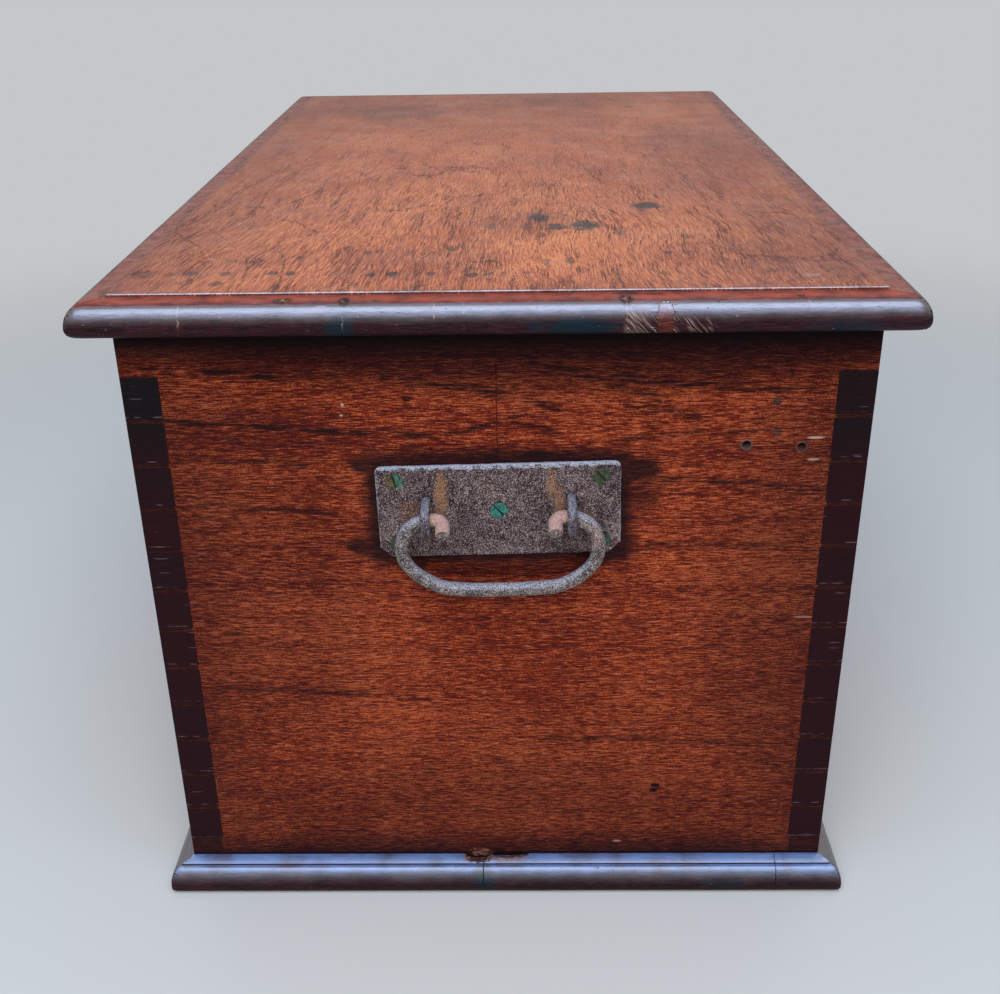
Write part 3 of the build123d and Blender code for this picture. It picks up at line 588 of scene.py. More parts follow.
@dataclass(frozen=True)
class EndTimber(Timber):
    """The near end board with the marks round its handle."""

    plate_height: float = 287.5
    plate_half_width: float = 73.0
    plate_half_height: float = 31.0
    dust: Colour = (0.13, 0.115, 0.115)
    figure_lines: ClassVar[tuple[Streak, ...]] = (
        Streak((-200, 345), (-30, 334), 4.0, 0.0, 0.9),
        Streak((-205, 375), (-110, 371), 5.5, 1.5, 0.95),
        Streak((-70, 371), (40, 350), 4.6, 3.0, 0.85),
        Streak((-45, 334), (20, 350), 3.0, -3.0, 0.8),
        Streak((25, 378), (96, 355), 5.0, 1.0, 0.85),
        Streak((70, 352), (118, 344), 5.5, 1.0, 0.8),
        Streak((60, 371), (192, 361), 4.4, -2.0, 0.85),
        Streak((2, 342), (38, 334), 4.5, 2.0, 0.75),
        Streak((-190, 322), (-110, 316), 3.4, 0.0, 0.75),
        Streak((40, 325), (160, 335), 3.2, 4.0, 0.75),
        Streak((82, 306), (195, 298), 3.4, 2.0, 0.8),
        Streak((-203, 292), (-95, 285), 3.5, 1.0, 0.7),
        Streak((84, 262), (200, 256), 4.0, 3.0, 0.6),
        Streak((-195, 160), (-40, 150), 4.0, 2.0, 0.6),
        Streak((20, 120), (195, 112), 4.0, 2.0, 0.55),
    )
    # Stains; Spot(0, 249), Spot(-52, 252) and Spot(52, 252) are painted shadow under the plate, inside the
    # bail.
    stains: ClassVar[tuple[Spot, ...]] = (
        Spot(-79, 316, 12, 7, 0.9), Spot(83, 313, 15, 8, 0.9), Spot(24, 322.5, 12, 3.6, 0.95),
        Spot(38, 322, 20, 3, 0.6), Spot(0, 249, 62, 10, 0.62), Spot(-80, 262, 12, 8, 0.75),
        Spot(-52, 252, 13, 9, 0.80), Spot(52, 252, 12, 8, 0.75),
        Spot(84, 296, 12, 14, 0.6), Spot(101.1, 80.7, 3.2, 1.8, 1.0), Spot(99.9, 76.5, 2.4, 1.6, 1.0),
        Spot(-52, 358, 3.5, 2.0, 0.8), Spot(60, 140, 2.0, 1.0, 0.8), Spot(190.9, 293.5, 1.2, 1.2, 0.6),
    )
    hole_dust: ClassVar[tuple[Spot, ...]] = (Spot(144, 327.5, 3.4, 3.4, 0.8), Spot(176, 326, 3.4, 3.4, 0.55))
    splinter: ClassVar[Spot] = Spot(-16.5, 23.5, 8.0, 3.4, 1.0)
    # Broad patches of painted shade: a band under the lid's overhang, the foot and towards the sides.
    shading: ClassVar[tuple[Spot, ...]] = (
        Spot(-150, 250, 75, 150, 0.26), Spot(190, 200, 75, 190, 0.30), Spot(0, 40, 230, 75, 0.34),
        Spot(-210, 200, 60, 220, 0.25), Spot(40, 390, 240, 34, 0.6), Spot(60, 95, 110, 55, 0.12),
    )
    scrapes: ClassVar[tuple[Spot, ...]] = (
        Spot(183.5, 331.7, 5.5, 0.9, 0.9), Spot(183.5, 318.0, 4.0, 0.8, 0.7),
        Spot(187.0, 211.0, 7.0, 0.8, 0.35), Spot(-89, 354.5, 1.0, 1.0, 0.8), Spot(-90, 348, 1.2, 0.8, 0.8),
        Spot(77, 33, 3.0, 0.9, 0.5),
    )

    def marks(self, s: Shader) -> tuple[Number, Number, Number]:
        """Dark edges, painted shadow under the lid, a dark ring round the handle that is dirt and painted
        contact shade, stains, painted shadow under the plate, lines and small scrapes.

        Args:
            s: The shader.

        Returns:
            How dark it is stained, how bare it is scraped, and the depth of its marks.
        """
        front = (0.0 - s.y).rise(0.379, 0.3805)
        ragged = (s.grained(s.x * 40.0, s.z * 110.0, 0.0, detail=3.0) - 0.5) * 0.9
        around_x = abs(s.x) - self.plate_half_width * MM
        around_z = abs(s.z - self.plate_height * MM) - self.plate_half_height * MM
        away = (around_x.larger(0.0) ** 2.0 + around_z.larger(0.0) ** 2.0) ** 0.5
        # Dirt and painted contact shade: a dark ring round the handle's plate.
        ring = (away + ragged * 0.012).fall(0.001, 0.013) * 0.90
        # Painted shadow: darker under the lid's overhang, nearly black just under the lid.
        top = (s.z + ragged * 0.004).rise(0.360, 0.390) * 0.62 + s.z.rise(0.376, 0.396) * 0.38
        low = (s.z + ragged * 0.004).fall(0.022, 0.052) * 0.76
        low = low.larger((s.z + ragged * 0.001).fall(0.0235, 0.0262) * 0.97)
        side = (abs(s.x) + ragged * 0.02).rise(0.13, 0.2) * 0.30
        pins = (abs(s.x) + ragged * 0.002).rise(0.1925, 0.1945) * s.z.fall(0.3725, 0.3740) * 0.88
        broken = s.grained(s.x * 48.0, s.z * 430.0, 9.0, detail=2.0).rise(0.40, 0.58)
        lines = largest(line.mask(s.x, s.z, ragged * 0.005) for line in self.figure_lines)
        lines = lines * (broken * 0.85 + 0.15)
        spots = largest(spot.mask(s.x, s.z, ragged) for spot in self.stains)
        scribe = abs(s.x + 0.5 * MM).fall(0.00012, 0.0005) * s.z.rise(0.320, 0.324) * 0.8
        # The broad painted shade from the patches above.
        shading = largest(spot.mask(s.x, s.z, ragged * 0.3) for spot in self.shading)
        dark = largest((ring, top, low, side, pins, spots, lines, scribe)) * front
        dark = dark + (1.0 - dark) * shading * front
        bare = largest(spot.mask(s.x, s.z, ragged) for spot in self.scrapes) * front
        return dark, bare, scribe * front + bare * 0.6

    def polish(self, s: Shader) -> Number:
        """Less wax in the shadow under the lid."""
        return s.z.fall(0.345, 0.385) * self.wax

    def surface(self, s: Shader, colour: bpy.types.NodeSocket) -> bpy.types.NodeSocket:
        """Grey dust in the old screw holes and a torn place at the foot.

        Args:
            s: The shader.
            colour: The wood's colour so far.

        Returns:
            The colour with both in it.
        """
        dusty = largest(spot.mask(s.x, s.z) for spot in self.hole_dust)
        colour = s.blend(dusty, colour, self.dust)
        ragged = (s.noise(s.place, 260.0, 3.0, 0.65) - 0.5) * 1.6
        return torn_wood(s, colour, self.splinter.mask(s.x, s.z, ragged))


@dataclass(frozen=True)
class LidTimber(Timber):
    """The lid board with its flame figure, dents and stains."""

    grain: Grain = Grain.ALONG_CHEST
    upright: bool = False
    wax_ior: float = 2.7
    half_width: float = 215.5
    half_length: float = 381.5
    fleck: Colour = (0.84, 0.36, 0.15)
    dulled: Colour = (0.10, 0.020, 0.014)
    dents: ClassVar[tuple[Spot, ...]] = (
        Spot(-205, -342, 9.4, 9, 0.6), Spot(-188, -342, 5, 4, 0.55), Spot(-177, -341, 5.6, 5, 0.75),
        Spot(-157, -342, 3.6, 4.6, 0.75), Spot(-130, -342, 4.2, 4.8, 0.85), Spot(-119, -343, 3.8, 5, 0.95),
        Spot(-158, -363, 4.0, 5, 0.8), Spot(-178, -361, 4, 4, 0.45), Spot(-123, -370, 3, 4.4, 0.6),
        Spot(-175, -316, 3.6, 4, 0.45), Spot(-159, -314, 5, 3.4, 0.5), Spot(-144, -315, 5, 5, 0.55),
        Spot(-119, -308, 3, 4, 0.75), Spot(-93, -287, 4.2, 8, 0.45), Spot(-72, -347, 3.4, 5, 0.9),
        Spot(-60, -346, 3.4, 5.4, 0.95), Spot(-38, -346, 3.2, 4.2, 0.8), Spot(-14, -350, 3.6, 5.4, 0.95),
        Spot(-4, -348, 3.2, 5, 0.85), Spot(4, -347, 2.8, 3, 0.5), Spot(18, -346, 2.4, 4, 0.6),
        Spot(-13, -336, 4, 3.2, 0.5), Spot(-79, -298, 3, 6, 0.7), Spot(-72, -294, 2.6, 6, 0.5),
        Spot(-28, -291, 3.6, 7.4, 0.75), Spot(-14, -322, 3.6, 2.6, 0.6), Spot(-4, -321, 5, 3, 0.75),
        Spot(29, -324, 2.6, 7, 0.6), Spot(43, -322, 2.8, 8, 0.75), Spot(103, -305, 3.2, 5, 0.8),
        Spot(115, -303, 3.2, 3.6, 0.5), Spot(120, -266, 3.6, 6, 0.6), Spot(108, -261, 3.6, 3, 0.5),
        Spot(157, -346, 4, 6, 0.6), Spot(78, -254, 4.2, 8, 0.4), Spot(192, -343, 9, 12, 0.45),
    )
    stains: ClassVar[tuple[Spot, ...]] = (
        Spot(26.0, -210, 8.6, 12, 0.95), Spot(38, -236, 8.6, 9.5, 0.95), Spot(56, -233, 10.8, 14, 1.0),
        Spot(102.0, -176, 11.4, 11.6, 1.0), Spot(-75.9, 249.9, 14, 22, 0.5), Spot(-78, 300, 8, 14, 0.35),
        Spot(-5, -234, 5, 9, 0.65), Spot(-3, -212, 4.4, 9, 0.55), Spot(-166, -225, 6, 10, 0.35),
        Spot(30, -225, 30, 32, 0.22), Spot(-118, 255, 32, 70, 0.28), Spot(60, 330, 60, 40, 0.16),
        Spot(165, 60, 60, 120, 0.14), Spot(190, -320, 60, 60, 0.16), Spot(-172, -170, 7, 3.2, 0.6),
    )
    pale: ClassVar[tuple[Spot, ...]] = (
        Spot(-171, -310, 3.2, 2.2, 0.7), Spot(-168, -285, 1.6, 1.4, 0.7), Spot(-135, -310, 1.2, 1.0, 0.5),
        Spot(178, -357, 5.0, 3.5, 0.35),
    )
    cracks: ClassVar[tuple[Streak, ...]] = (
        Streak((-363.4, 179.9), (-315.3, 215.8), 0.8, -2.0, 0.6),
        Streak((-380, 70.5), (-345, 69.0), 1.3, 0.0, 0.6),
        Streak((-380, -82.0), (-362, -81.5), 1.0, 0.0, 0.6),
        Streak((-212, -148.0), (-206, -108.0), 1.4, 0.0, 0.5),
    )

    def figure(self, s: Shader) -> tuple[Value, Value, Value]:
        """Bundles of short fine hairs that run along the board and close like flames.

        Args:
            s: The shader.

        Returns:
            The tone from 0 dark to 1 light, the dark hairs, and a relief height.
        """
        sway = s.grained(s.x * 4.6 + 2.0, s.y * 2.9 + 1.0, 3.0, detail=2.0, distortion=0.5)
        curl = s.grained(s.x * 62.0, s.y * 30.0, 0.0, detail=3.0, roughness=0.6)
        closing = (s.x - 0.015) * (s.y + 0.38) * 0.55
        run = s.x + closing + (sway - 0.5) * 0.045 + (curl - 0.5) * 0.0045
        bundle = s.grained(run * 78.0, s.y * 11.0, 8.0, detail=2.0, roughness=0.55)
        gathered = bundle.rise(0.46, 0.62) * (s.y.fall(-0.20, 0.30) * 0.55 + 0.45)
        fine = s.grained(run * 1050.0, s.y * 62.0, s.z * 200.0, detail=2.0, roughness=0.7)
        speck = s.noise(s.place, 1500.0, 1.0)
        patches = s.grained(s.x * 9.0, s.y * 6.0, 7.0, detail=4.0)
        clouds = s.grained(s.x * 30.0, s.y * 17.0, 2.0, detail=4.0, roughness=0.6)
        arch = (s.x - 0.015) * (s.x - 0.015) * 9.0 - s.y * 0.55
        field = (arch + (sway - 0.5) * 1.7) * 6.0 + (curl - 0.5) * 0.45
        kept = s.grained(s.x * 13.0, s.y * 9.0, 8.0, detail=1.0).rise(0.42, 0.58)
        line = abs(field.fraction() - 0.5).rise(0.450, 0.5) * s.y.fall(-0.05, 0.28) * kept
        calm = s.y.fall(-0.24, 0.08) * 0.5 + 0.5
        tone = ((fine - 0.5) * 2.5 * calm + (speck - 0.5) * 1.0 + (patches - 0.5) * 0.9 + (clouds - 0.5) * 0.7
                - line * 0.16 - gathered * 0.06 + 0.53)
        hair = s.grained(run * 1500.0, s.y * 55.0, s.z * 500.0, detail=2.0, roughness=0.6)
        pores = (hair + gathered * 0.11 + line * 0.14 - 0.065).rise(0.570, 0.625) * (calm * 0.75 + 0.20)
        return tone.held(), pores, fine * 0.5 - pores * 0.9

    def surface(self, s: Shader, colour: bpy.types.NodeSocket) -> bpy.types.NodeSocket:
        """Orange flecks between the hairs, and duller ends and sides.

        Args:
            s: The shader.
            colour: The wood's colour so far.

        Returns:
            The colour with both in it.
        """
        flecks = s.grained(s.x * 1500.0, s.y * 190.0, 3.0, detail=1.0).rise(0.60, 0.68)
        amber = s.grained(s.x * 26.0, s.y * 14.0, 11.0, detail=2.0).rise(0.40, 0.62) * 0.75 + 0.25
        colour = s.blend(flecks * amber * s.y.fall(-0.2, 0.3) * 0.6, colour, self.fleck)
        edges = largest((s.x.rise(0.05, 0.21) * 0.38, s.x.fall(-0.22, -0.10) * 0.42,
                         s.y.rise(0.02, 0.36) * 0.42, s.y.fall(-0.385, -0.34) * 0.10))
        return s.blend(edges, colour, self.dulled)

    def polish(self, s: Shader) -> Number:
        """Polished most along the rubbed edges.

        Args:
            s: The shader.

        Returns:
            How much wax there is at each place.
        """
        near = (0.0 - s.y - self.half_length * MM).rise(-0.0022, -0.0012)
        side = (abs(s.x) - self.half_width * MM).larger(s.y - self.half_length * MM).rise(-0.0020, -0.0011)
        worn = s.noise(s.place, 45.0, 4.0, 0.7).rise(0.28, 0.52) * 0.75 + 0.25
        grain = s.grained(s.x * 220.0, s.y * 700.0, s.z * 1500.0, detail=3.0, roughness=0.7)
        return near * worn * ((grain - 0.5) * 1.6 + 0.8).held() + side * worn * 0.10 + self.wax

    def marks(self, s: Shader) -> tuple[Number, Number, Number]:
        """Dents and stains where things stood, and splits at the ends.

        Args:
            s: The shader.

        Returns:
            How dark it is stained, how bare it is scraped, and the depth of its marks.
        """
        top = s.facing_z.rise(0.5, 0.8)
        ragged = (s.noise(s.place, 130.0, 3.0) - 0.5) * 1.4
        dent = largest(spot.mask(s.x, s.y, ragged) for spot in self.dents)
        stain = largest(spot.mask(s.x, s.y, ragged) for spot in self.stains)
        wander = (s.noise(s.place, 60.0) - 0.5) * 0.002
        split = largest(line.mask(s.y, s.x, wander) for line in self.cracks)
        rim = abs(s.x).rise(0.2105, 0.2155).larger(abs(s.y).rise(0.3765, 0.3815)) * 0.45
        bruise = s.grained(s.x * 38.0, s.y * 24.0, 5.0, detail=2.0).rise(0.66, 0.74) * 0.32
        bare = largest(spot.mask(s.x, s.y, ragged * 1.3) for spot in self.pale) * top
        dark = largest((dent * 0.95, stain * 0.95, split, rim, bruise * 0.8)) * top
        return dark, bare, (dent + split * 1.5) * top


@dataclass(frozen=True)
class MouldedTimber(Timber):
    """Mouldings, dark and polished by hands; their flat tops are painted lighter and warmer as the lit side,
    and what faces up can carry a painted bluish sky reflection.
    """

    # The colour of the flat top as painted light: lighter and warmer where it faces up.
    lit_top_colour: Colour = (0.36, 0.060, 0.028)
    lit_top_warmth: float = 0.0
    inner_half_width: float = 215.5
    inner_half_length: float = 381.5
    warm_reach: float = 11.5
    scars: tuple[float, float] = (0.0, 0.0)
    wax: float = 1.0
    wax_ior: float = 2.7
    wax_rough: float = 0.27
    specular: float = 0.10
    nicks: tuple[float, ...] = ()
    raw: tuple[Spot, ...] = ()
    smudges: tuple[Spot, ...] = ()
    splits: tuple[float, ...] = ()
    pits: tuple[Spot, ...] = ()
    # How strongly, and in what colour, what faces up is painted with a bluish sky reflection.
    patina_and_sky_sheen: float = 0.0
    sky: Colour = (0.12, 0.23, 0.49)
    smudged: Colour = (0.002, 0.014, 0.022)
    pitted: Colour = (0.020, 0.010, 0.009)

    def along(self, s: Shader) -> Value:
        """The coordinate along the length."""
        return s.x if self.grain is Grain.ACROSS_CHEST else s.y

    def outwards(self, s: Shader) -> Value:
        """How far a place is outside the chest's own sides."""
        return (abs(s.x) - self.inner_half_width * MM).larger(abs(s.y) - self.inner_half_length * MM)

    def opened(self, s: Shader) -> Value:
        """Open splits across the length."""
        jitter = (s.grained(0.0, s.z * 260.0, s.y * 260.0, detail=2.0) - 0.5) * 0.0011
        return largest(abs(self.along(s) + jitter - split * MM).fall(0.0002, 0.0006) for split in self.splits)

    def polish(self, s: Shader) -> Number:
        """Hands have polished what faces up; the lower side is dull.

        Args:
            s: The shader.

        Returns:
            How much wax there is at each place.
        """
        cloud = s.noise(s.place, 55.0, 3.0)
        across = self.grain is Grain.ACROSS_CHEST
        x_scale, y_scale = (130.0, 1100.0) if across else (1100.0, 130.0)
        brushed = s.grained(s.x * x_scale, s.y * y_scale, s.z * 1100.0, detail=3.0, roughness=0.7)
        specks = s.noise(s.place, 700.0, 2.0).fall(0.66, 0.72) * 0.5 + 0.5
        rubbed = (s.facing_z + (cloud - 0.5) * 0.16 + (brushed - 0.5) * 0.10).rise(0.06, 0.70)
        rubbed = rubbed * ((brushed - 0.5) * 1.1 + cloud * 0.4 + 0.80) * specks
        flat = (s.facing_z + (cloud - 0.5) * 0.06).rise(0.84, 0.93) * self.lit_top_warmth * 0.98
        worn = 1.0 - largest(pit.mask(s.x, s.y) for pit in self.pits) if self.pits else 1.0
        if self.splits:
            worn = (1.0 - self.opened(s)) * worn
        return (rubbed - flat).held() * worn * self.wax + 0.02

    def surface(self, s: Shader, colour: bpy.types.NodeSocket) -> bpy.types.NodeSocket:
        """Lays the flat top, painted lighter and warmer as lit from above, and a painted bluish sky
        reflection over the dark nose.

        Args:
            s: The shader.
            colour: The wood's colour so far.

        Returns:
            The colour with the painted lit top, the painted sky reflection and the worn places in it.
        """
        out = self.outwards(s)
        wander = (s.noise(s.place, 30.0, 3.0) - 0.5) * 0.004
        # Painted light: the flat top, which faces up, is laid in the lighter, warmer top colour.
        warm = (s.facing_z + wander * 12.0).rise(0.62, 0.95) * (out + wander).fall(
            (self.warm_reach - 2.0) * MM, (self.warm_reach + 5.0) * MM) * self.lit_top_warmth
        streaked = s.grained(s.x * 60.0, s.y * 900.0, s.z * 900.0, detail=3.0, roughness=0.65)
        # Painted reflection: a bluish sky sheen laid into the colour of what faces up.
        patina_and_sky_sheen = s.facing_z.rise(0.25, 0.90) * s.noise(s.place, 70.0, 4.0).rise(0.1, 0.7)
        patina_and_sky_sheen = patina_and_sky_sheen * (streaked * 1.1 + 0.40)
        colour = s.blend((patina_and_sky_sheen * self.patina_and_sky_sheen).held(), colour, self.sky)
        if self.smudges:
            ragged = (s.noise(s.place, 75.0, 4.0, 0.6) - 0.5) * 1.8
            colour = s.blend(largest(spot.mask(s.x, s.z, ragged) for spot in self.smudges), colour,
                             self.smudged)
        if self.raw:
            ragged = (s.noise(s.place, 260.0, 3.0, 0.65) - 0.5) * 1.6
            torn = largest(spot.mask(s.x, s.z, ragged) for spot in self.raw)
            torn = torn * (abs(s.y) - self.inner_half_length * MM).fall(0.0055, 0.0075)
            colour = torn_wood(s, colour, torn)
        mottle = s.grained(s.x * 90.0, s.y * 90.0, 0.0, detail=4.0, roughness=0.6)
        top = s.ramp(mottle, ((0.3, tuple(0.35 * c for c in self.lit_top_colour)), (0.62, self.lit_top_colour)))
        colour = s.blend(warm, colour, top)
        if self.pits:
            ragged = (s.noise(s.place, 420.0, 3.0) - 0.5) * 1.2
            holes = largest(pit.mask(s.x, s.y, ragged) for pit in self.pits) * s.z.rise(0.41, 0.413)
            colour = s.blend(holes, colour, self.pitted)
            colour = torn_wood(s, colour, holes.rise(0.90, 0.99) * 0.8)
        return colour

    def marks(self, s: Shader) -> tuple[Number, Number, Number]:
        """Nicks across the nose, darkening in the corner against the board and saw scars.

        Args:
            s: The shader.

        Returns:
            How dark it is, how bare it is scraped, and the depth of its marks.
        """
        u, out = self.along(s), self.outwards(s)
        scarred = self.scars[1] > self.scars[0]
        groove = 0.0016 if scarred or not self.lit_top_warmth else 0.0058
        darkening = (out + (s.noise(s.place, 60.0, 3.0) - 0.5) * 0.001).fall(groove * 0.4, groove) * 0.8
        jitter = (s.grained(0.0, s.z * 260.0, s.y * 260.0, detail=2.0) - 0.5) * 0.0022
        bare = s.noise(s.place, 420.0, 2.0).rise(0.735, 0.76) * 0.4
        depth: Number = bare * 0.3
        broken = s.z.rise(0.404, 0.412) * s.z.fall(0.4175, 0.4190)
        broken = broken * s.noise(s.place, 300.0, 2.0).rise(0.42, 0.6)
        for nick in self.nicks:
            line = abs(u + jitter - nick * MM).fall(0.0002, 0.0007) * broken
            bare = bare.larger(line * 0.45)
            depth = line.larger(depth)
        if self.splits:
            opened = self.opened(s)
            darkening = darkening.larger(opened)
            depth = opened.larger(depth)
        if scarred:
            low, high = (edge * MM for edge in self.scars)
            inside = u.rise(low - 0.002, low + 0.002) * u.fall(high - 0.030, high + 0.004)
            face = (s.z + (u - low) * 0.05).fall(0.4120, 0.4165) * out.rise(0.0145, 0.017)
            slant = (u + s.z * 0.85) * 820.0 + (s.noise(s.place, 160.0, 2.0) - 0.5) * 0.9
            teeth = s.grained(slant, s.z * 70.0, 0.0, detail=2.0, roughness=0.7).rise(0.56, 0.66)
            dense = s.grained((u + s.z * 0.85) * 1400.0, s.z * 90.0, 4.0, detail=2.0)
            torn = dense.rise(0.46, 0.60) * u.fall(low + 0.002, low + 0.016) * 0.8
            scar = (teeth.larger(torn) * inside * face).held()
            bare = bare.larger(scar * 0.8)
            depth = depth + scar * 0.8
        return darkening, bare, depth


@dataclass(frozen=True)
class BareBoard(Timber):
    """The unpolished softwood underneath."""

    grain: Grain = Grain.ALONG_CHEST
    upright: bool = False
    shade: Colour = (0.085, 0.045, 0.024)
    body: Colour = (0.20, 0.115, 0.062)
    light: Colour = (0.36, 0.235, 0.135)
    pore: Colour = (0.07, 0.035, 0.02)
    end_shade: Colour = (0.07, 0.04, 0.025)
    ring_scale: float = 45.0
    pore_cover: float = 0.70
    gloss: float = 0.72
    wax: float = 0.0


@dataclass(frozen=True)
class ForgedIron:
    """Hammered iron, pitted and browned, rubbed pale on its upper edges, which also carry a painted pale
    bluish highlight.
    """

    name: str
    rust_runs: tuple[Spot, ...] = ()
    warm_spots: tuple[Spot, ...] = ()
    dark: Colour = (0.016, 0.009, 0.011)
    body: Colour = (0.082, 0.051, 0.054)
    light: Colour = (0.50, 0.38, 0.35)
    # The pale bluish colour of rubbed iron and of its painted highlight
    rubbed: Colour = (0.74, 0.78, 0.88)
    rubbed_highlight: float = 0.9
    ochre: Colour = (0.33, 0.18, 0.075)
    rust: Colour = (0.46, 0.23, 0.11)
    warmth: Colour = (0.72, 0.42, 0.32)
    painted_edge_highlight: Colour = (0.60, 0.66, 0.76)
    metallic: float = 0.12
    border: tuple[float, float, float, float] | None = None

    def material(self) -> bpy.types.Material:
        """Writes the iron's skin.

        Returns:
            The material.
        """
        s = Shader(self.name)
        coarse = s.noise(s.place, 190.0, 4.0, 0.62)
        grit = s.noise(s.place, 1500.0, 3.0, 0.75)
        clouds = s.noise(s.place, 42.0, 3.0)
        tone = ((coarse - 0.5) * 0.9 + (grit - 0.5) * 3.9 + (clouds - 0.5) * 0.6 + 0.40).held()
        colour = s.ramp(tone, ((0.05, self.dark), (0.5, self.body), (0.95, self.light)))
        grains = s.noise(s.place, 520.0, 3.0).rise(0.62, 0.70) * clouds.rise(0.42, 0.6)
        colour = s.blend(grains * 0.35, colour, self.ochre)
        ragged = (coarse - 0.5) * 2.2
        for run in self.rust_runs:
            mask = (run.mask(s.x, s.z, ragged * 0.8) * (grit.rise(0.34, 0.60) * 0.85 + 0.15)).held()
            colour = s.blend(mask * 0.9, colour, self.rust)
        # Rubbed bare iron and painted highlight: what faces up, and thinly the sides, is laid in a pale
        # bluish colour.
        edge = s.facing_z.rise(0.22, 0.75) * (grit.rise(0.42, 0.56) * 0.85 + 0.15) * self.rubbed_highlight
        edge = edge.larger(abs(s.facing_x).rise(0.35, 0.8) * grit.rise(0.46, 0.60) * 0.32 * self.rubbed_highlight)
        colour = s.blend(edge.held(), colour, self.rubbed)
        # Painted highlight: a pale bluish line along the plate's top edge, fainter down its sides.
        if self.border is not None:
            middle, half_width, half_height, tilt = self.border
            up = s.z - middle * MM - s.x * math.tan(math.radians(tilt)) + (clouds - 0.5) * 0.003
            high = (up - half_height * MM + (coarse - 0.5) * 0.004).rise(-0.0030, -0.0018)
            high = high * coarse.rise(0.34, 0.52)
            wide = (abs(s.x) - half_width * MM + (coarse - 0.5) * 0.002).rise(-0.0013, -0.0007) * 0.35
            border = high.larger(wide) * (grit.rise(0.40, 0.56) * 0.8 + 0.2)
            colour = s.blend(border * 0.8, colour, self.painted_edge_highlight)
        for warm in self.warm_spots:
            mask = warm.mask(s.x, s.z, ragged * 0.5) * (grit.rise(0.32, 0.54) * 0.7 + 0.3)
            colour = s.blend(mask * s.facing_z.rise(-0.5, 0.1), colour, self.warmth)
        pits = s.cells(s.place, 820.0).fall(0.12, 0.45)
        glints = s.cells(s.vector(s.x * 700.0, s.y * 700.0, s.z * 900.0), 1.0).fall(0.10, 0.30)
        colour = s.blend(glints * 0.5, colour, tuple(1.6 * c for c in self.light))
        height = coarse + grit * 0.8 - pits * 0.45
        rough = (0.72 - edge * 0.28 + (grit - 0.5) * 0.2).held()
        return s.close({"Base Color": colour, "Roughness": rough,
                        "Metallic": edge.held() * 0.3 + self.metallic,
                        "Normal": s.bump(height, 0.00085)}, {"Specular IOR Level": 0.22})


@dataclass(frozen=True)
class Brass:
    """Old brass, dulled brown with green in its corners."""

    name: str
    body: Colour = (0.46, 0.27, 0.085)
    tarnish: Colour = (0.13, 0.075, 0.035)
    green: Colour = (0.055, 0.20, 0.145)
    green_cover: float = 0.66
    gloss: float = 0.38

    def material(self) -> bpy.types.Material:
        """Writes the brass.

        Returns:
            The material.
        """
        s = Shader(self.name)
        cloud = s.noise(s.place, 120.0, 4.0, 0.6)
        grit = s.noise(s.place, 1400.0, 2.0)
        colour = s.blend(((cloud - 0.34) * 2.4 + (grit - 0.5) * 0.5).held(), self.body, self.tarnish)
        patina_and_sky_sheen = s.noise(s.place, 210.0, 3.0) + (grit - 0.5) * 0.2
        patina_and_sky_sheen = patina_and_sky_sheen.rise(self.green_cover, self.green_cover + 0.08)
        colour = s.blend(patina_and_sky_sheen, colour, self.green)
        rough = (cloud * 0.35 + self.gloss - 0.1 + patina_and_sky_sheen * 0.3).held()
        return s.close({"Base Color": colour, "Roughness": rough, "Metallic": 1.0 - patina_and_sky_sheen * 0.9,
                        "Normal": s.bump(cloud * 0.7 + grit * 0.3, 0.00012)})


@dataclass(frozen=True)
class ScrewHead:
    """One screw of a handle: where it stands, how its slot is turned and its two colours."""

    across: float
    up: float
    turn: float
    left: Colour
    right: Colour


@dataclass(frozen=True)
class GreenedBrass:
    """Screw brass whose heads have each greened in their own way."""

    name: str
    heads: tuple[ScrewHead, ...]
    shank: Colour = (0.20, 0.13, 0.05)
    slot_dirt_and_shade: Colour = (0.006, 0.010, 0.008)
    shade: Colour = (0.010, 0.020, 0.014)
    patina_and_sky_sheen: Colour = (0.36, 0.50, 0.36)
    crumbs: Colour = (0.42, 0.52, 0.40)

    def material(self) -> bpy.types.Material:
        """Writes the five heads' colours, each by its own place.

        Returns:
            The material.
        """
        s = Shader(self.name)
        cloud = s.noise(s.place, 420.0, 3.0, 0.6)
        grit = s.noise(s.place, 1700.0, 2.0)
        colour: Paint = self.shank
        for head in self.heads:
            near = Spot(head.across, head.up, 8.0, 8.0).mask(s.x, s.z)
            turn = math.radians(head.turn)
            half = (s.x - head.across * MM) * math.cos(turn) - (s.z - head.up * MM) * math.sin(turn)
            tint = s.blend((half + (cloud - 0.5) * 0.004).rise(-0.0006, 0.0006), head.left, head.right)
            # Dirt and painted shade in each head's slot.
            tint = s.blend(abs(half).fall(0.00040, 0.00075) * 0.9, tint, self.slot_dirt_and_shade)
            colour = s.blend(near.rise(0.2, 0.5), colour, tint)
        colour = s.blend(((cloud - 0.42) * 5.0).held() * 0.85, colour, self.shade)
        pale = s.cells(s.place, 620.0).fall(0.05, 0.30)
        colour = s.blend(pale * 0.35, colour, self.patina_and_sky_sheen)
        colour = s.blend(grit.rise(0.62, 0.75) * 0.5, colour, self.crumbs)
        rough = (cloud * 0.3 + 0.3).held()
        return s.close({"Base Color": colour, "Roughness": rough,
                        "Normal": s.bump(cloud * 0.6 + grit * 0.4, 0.00014)}, {"Metallic": 0.35})


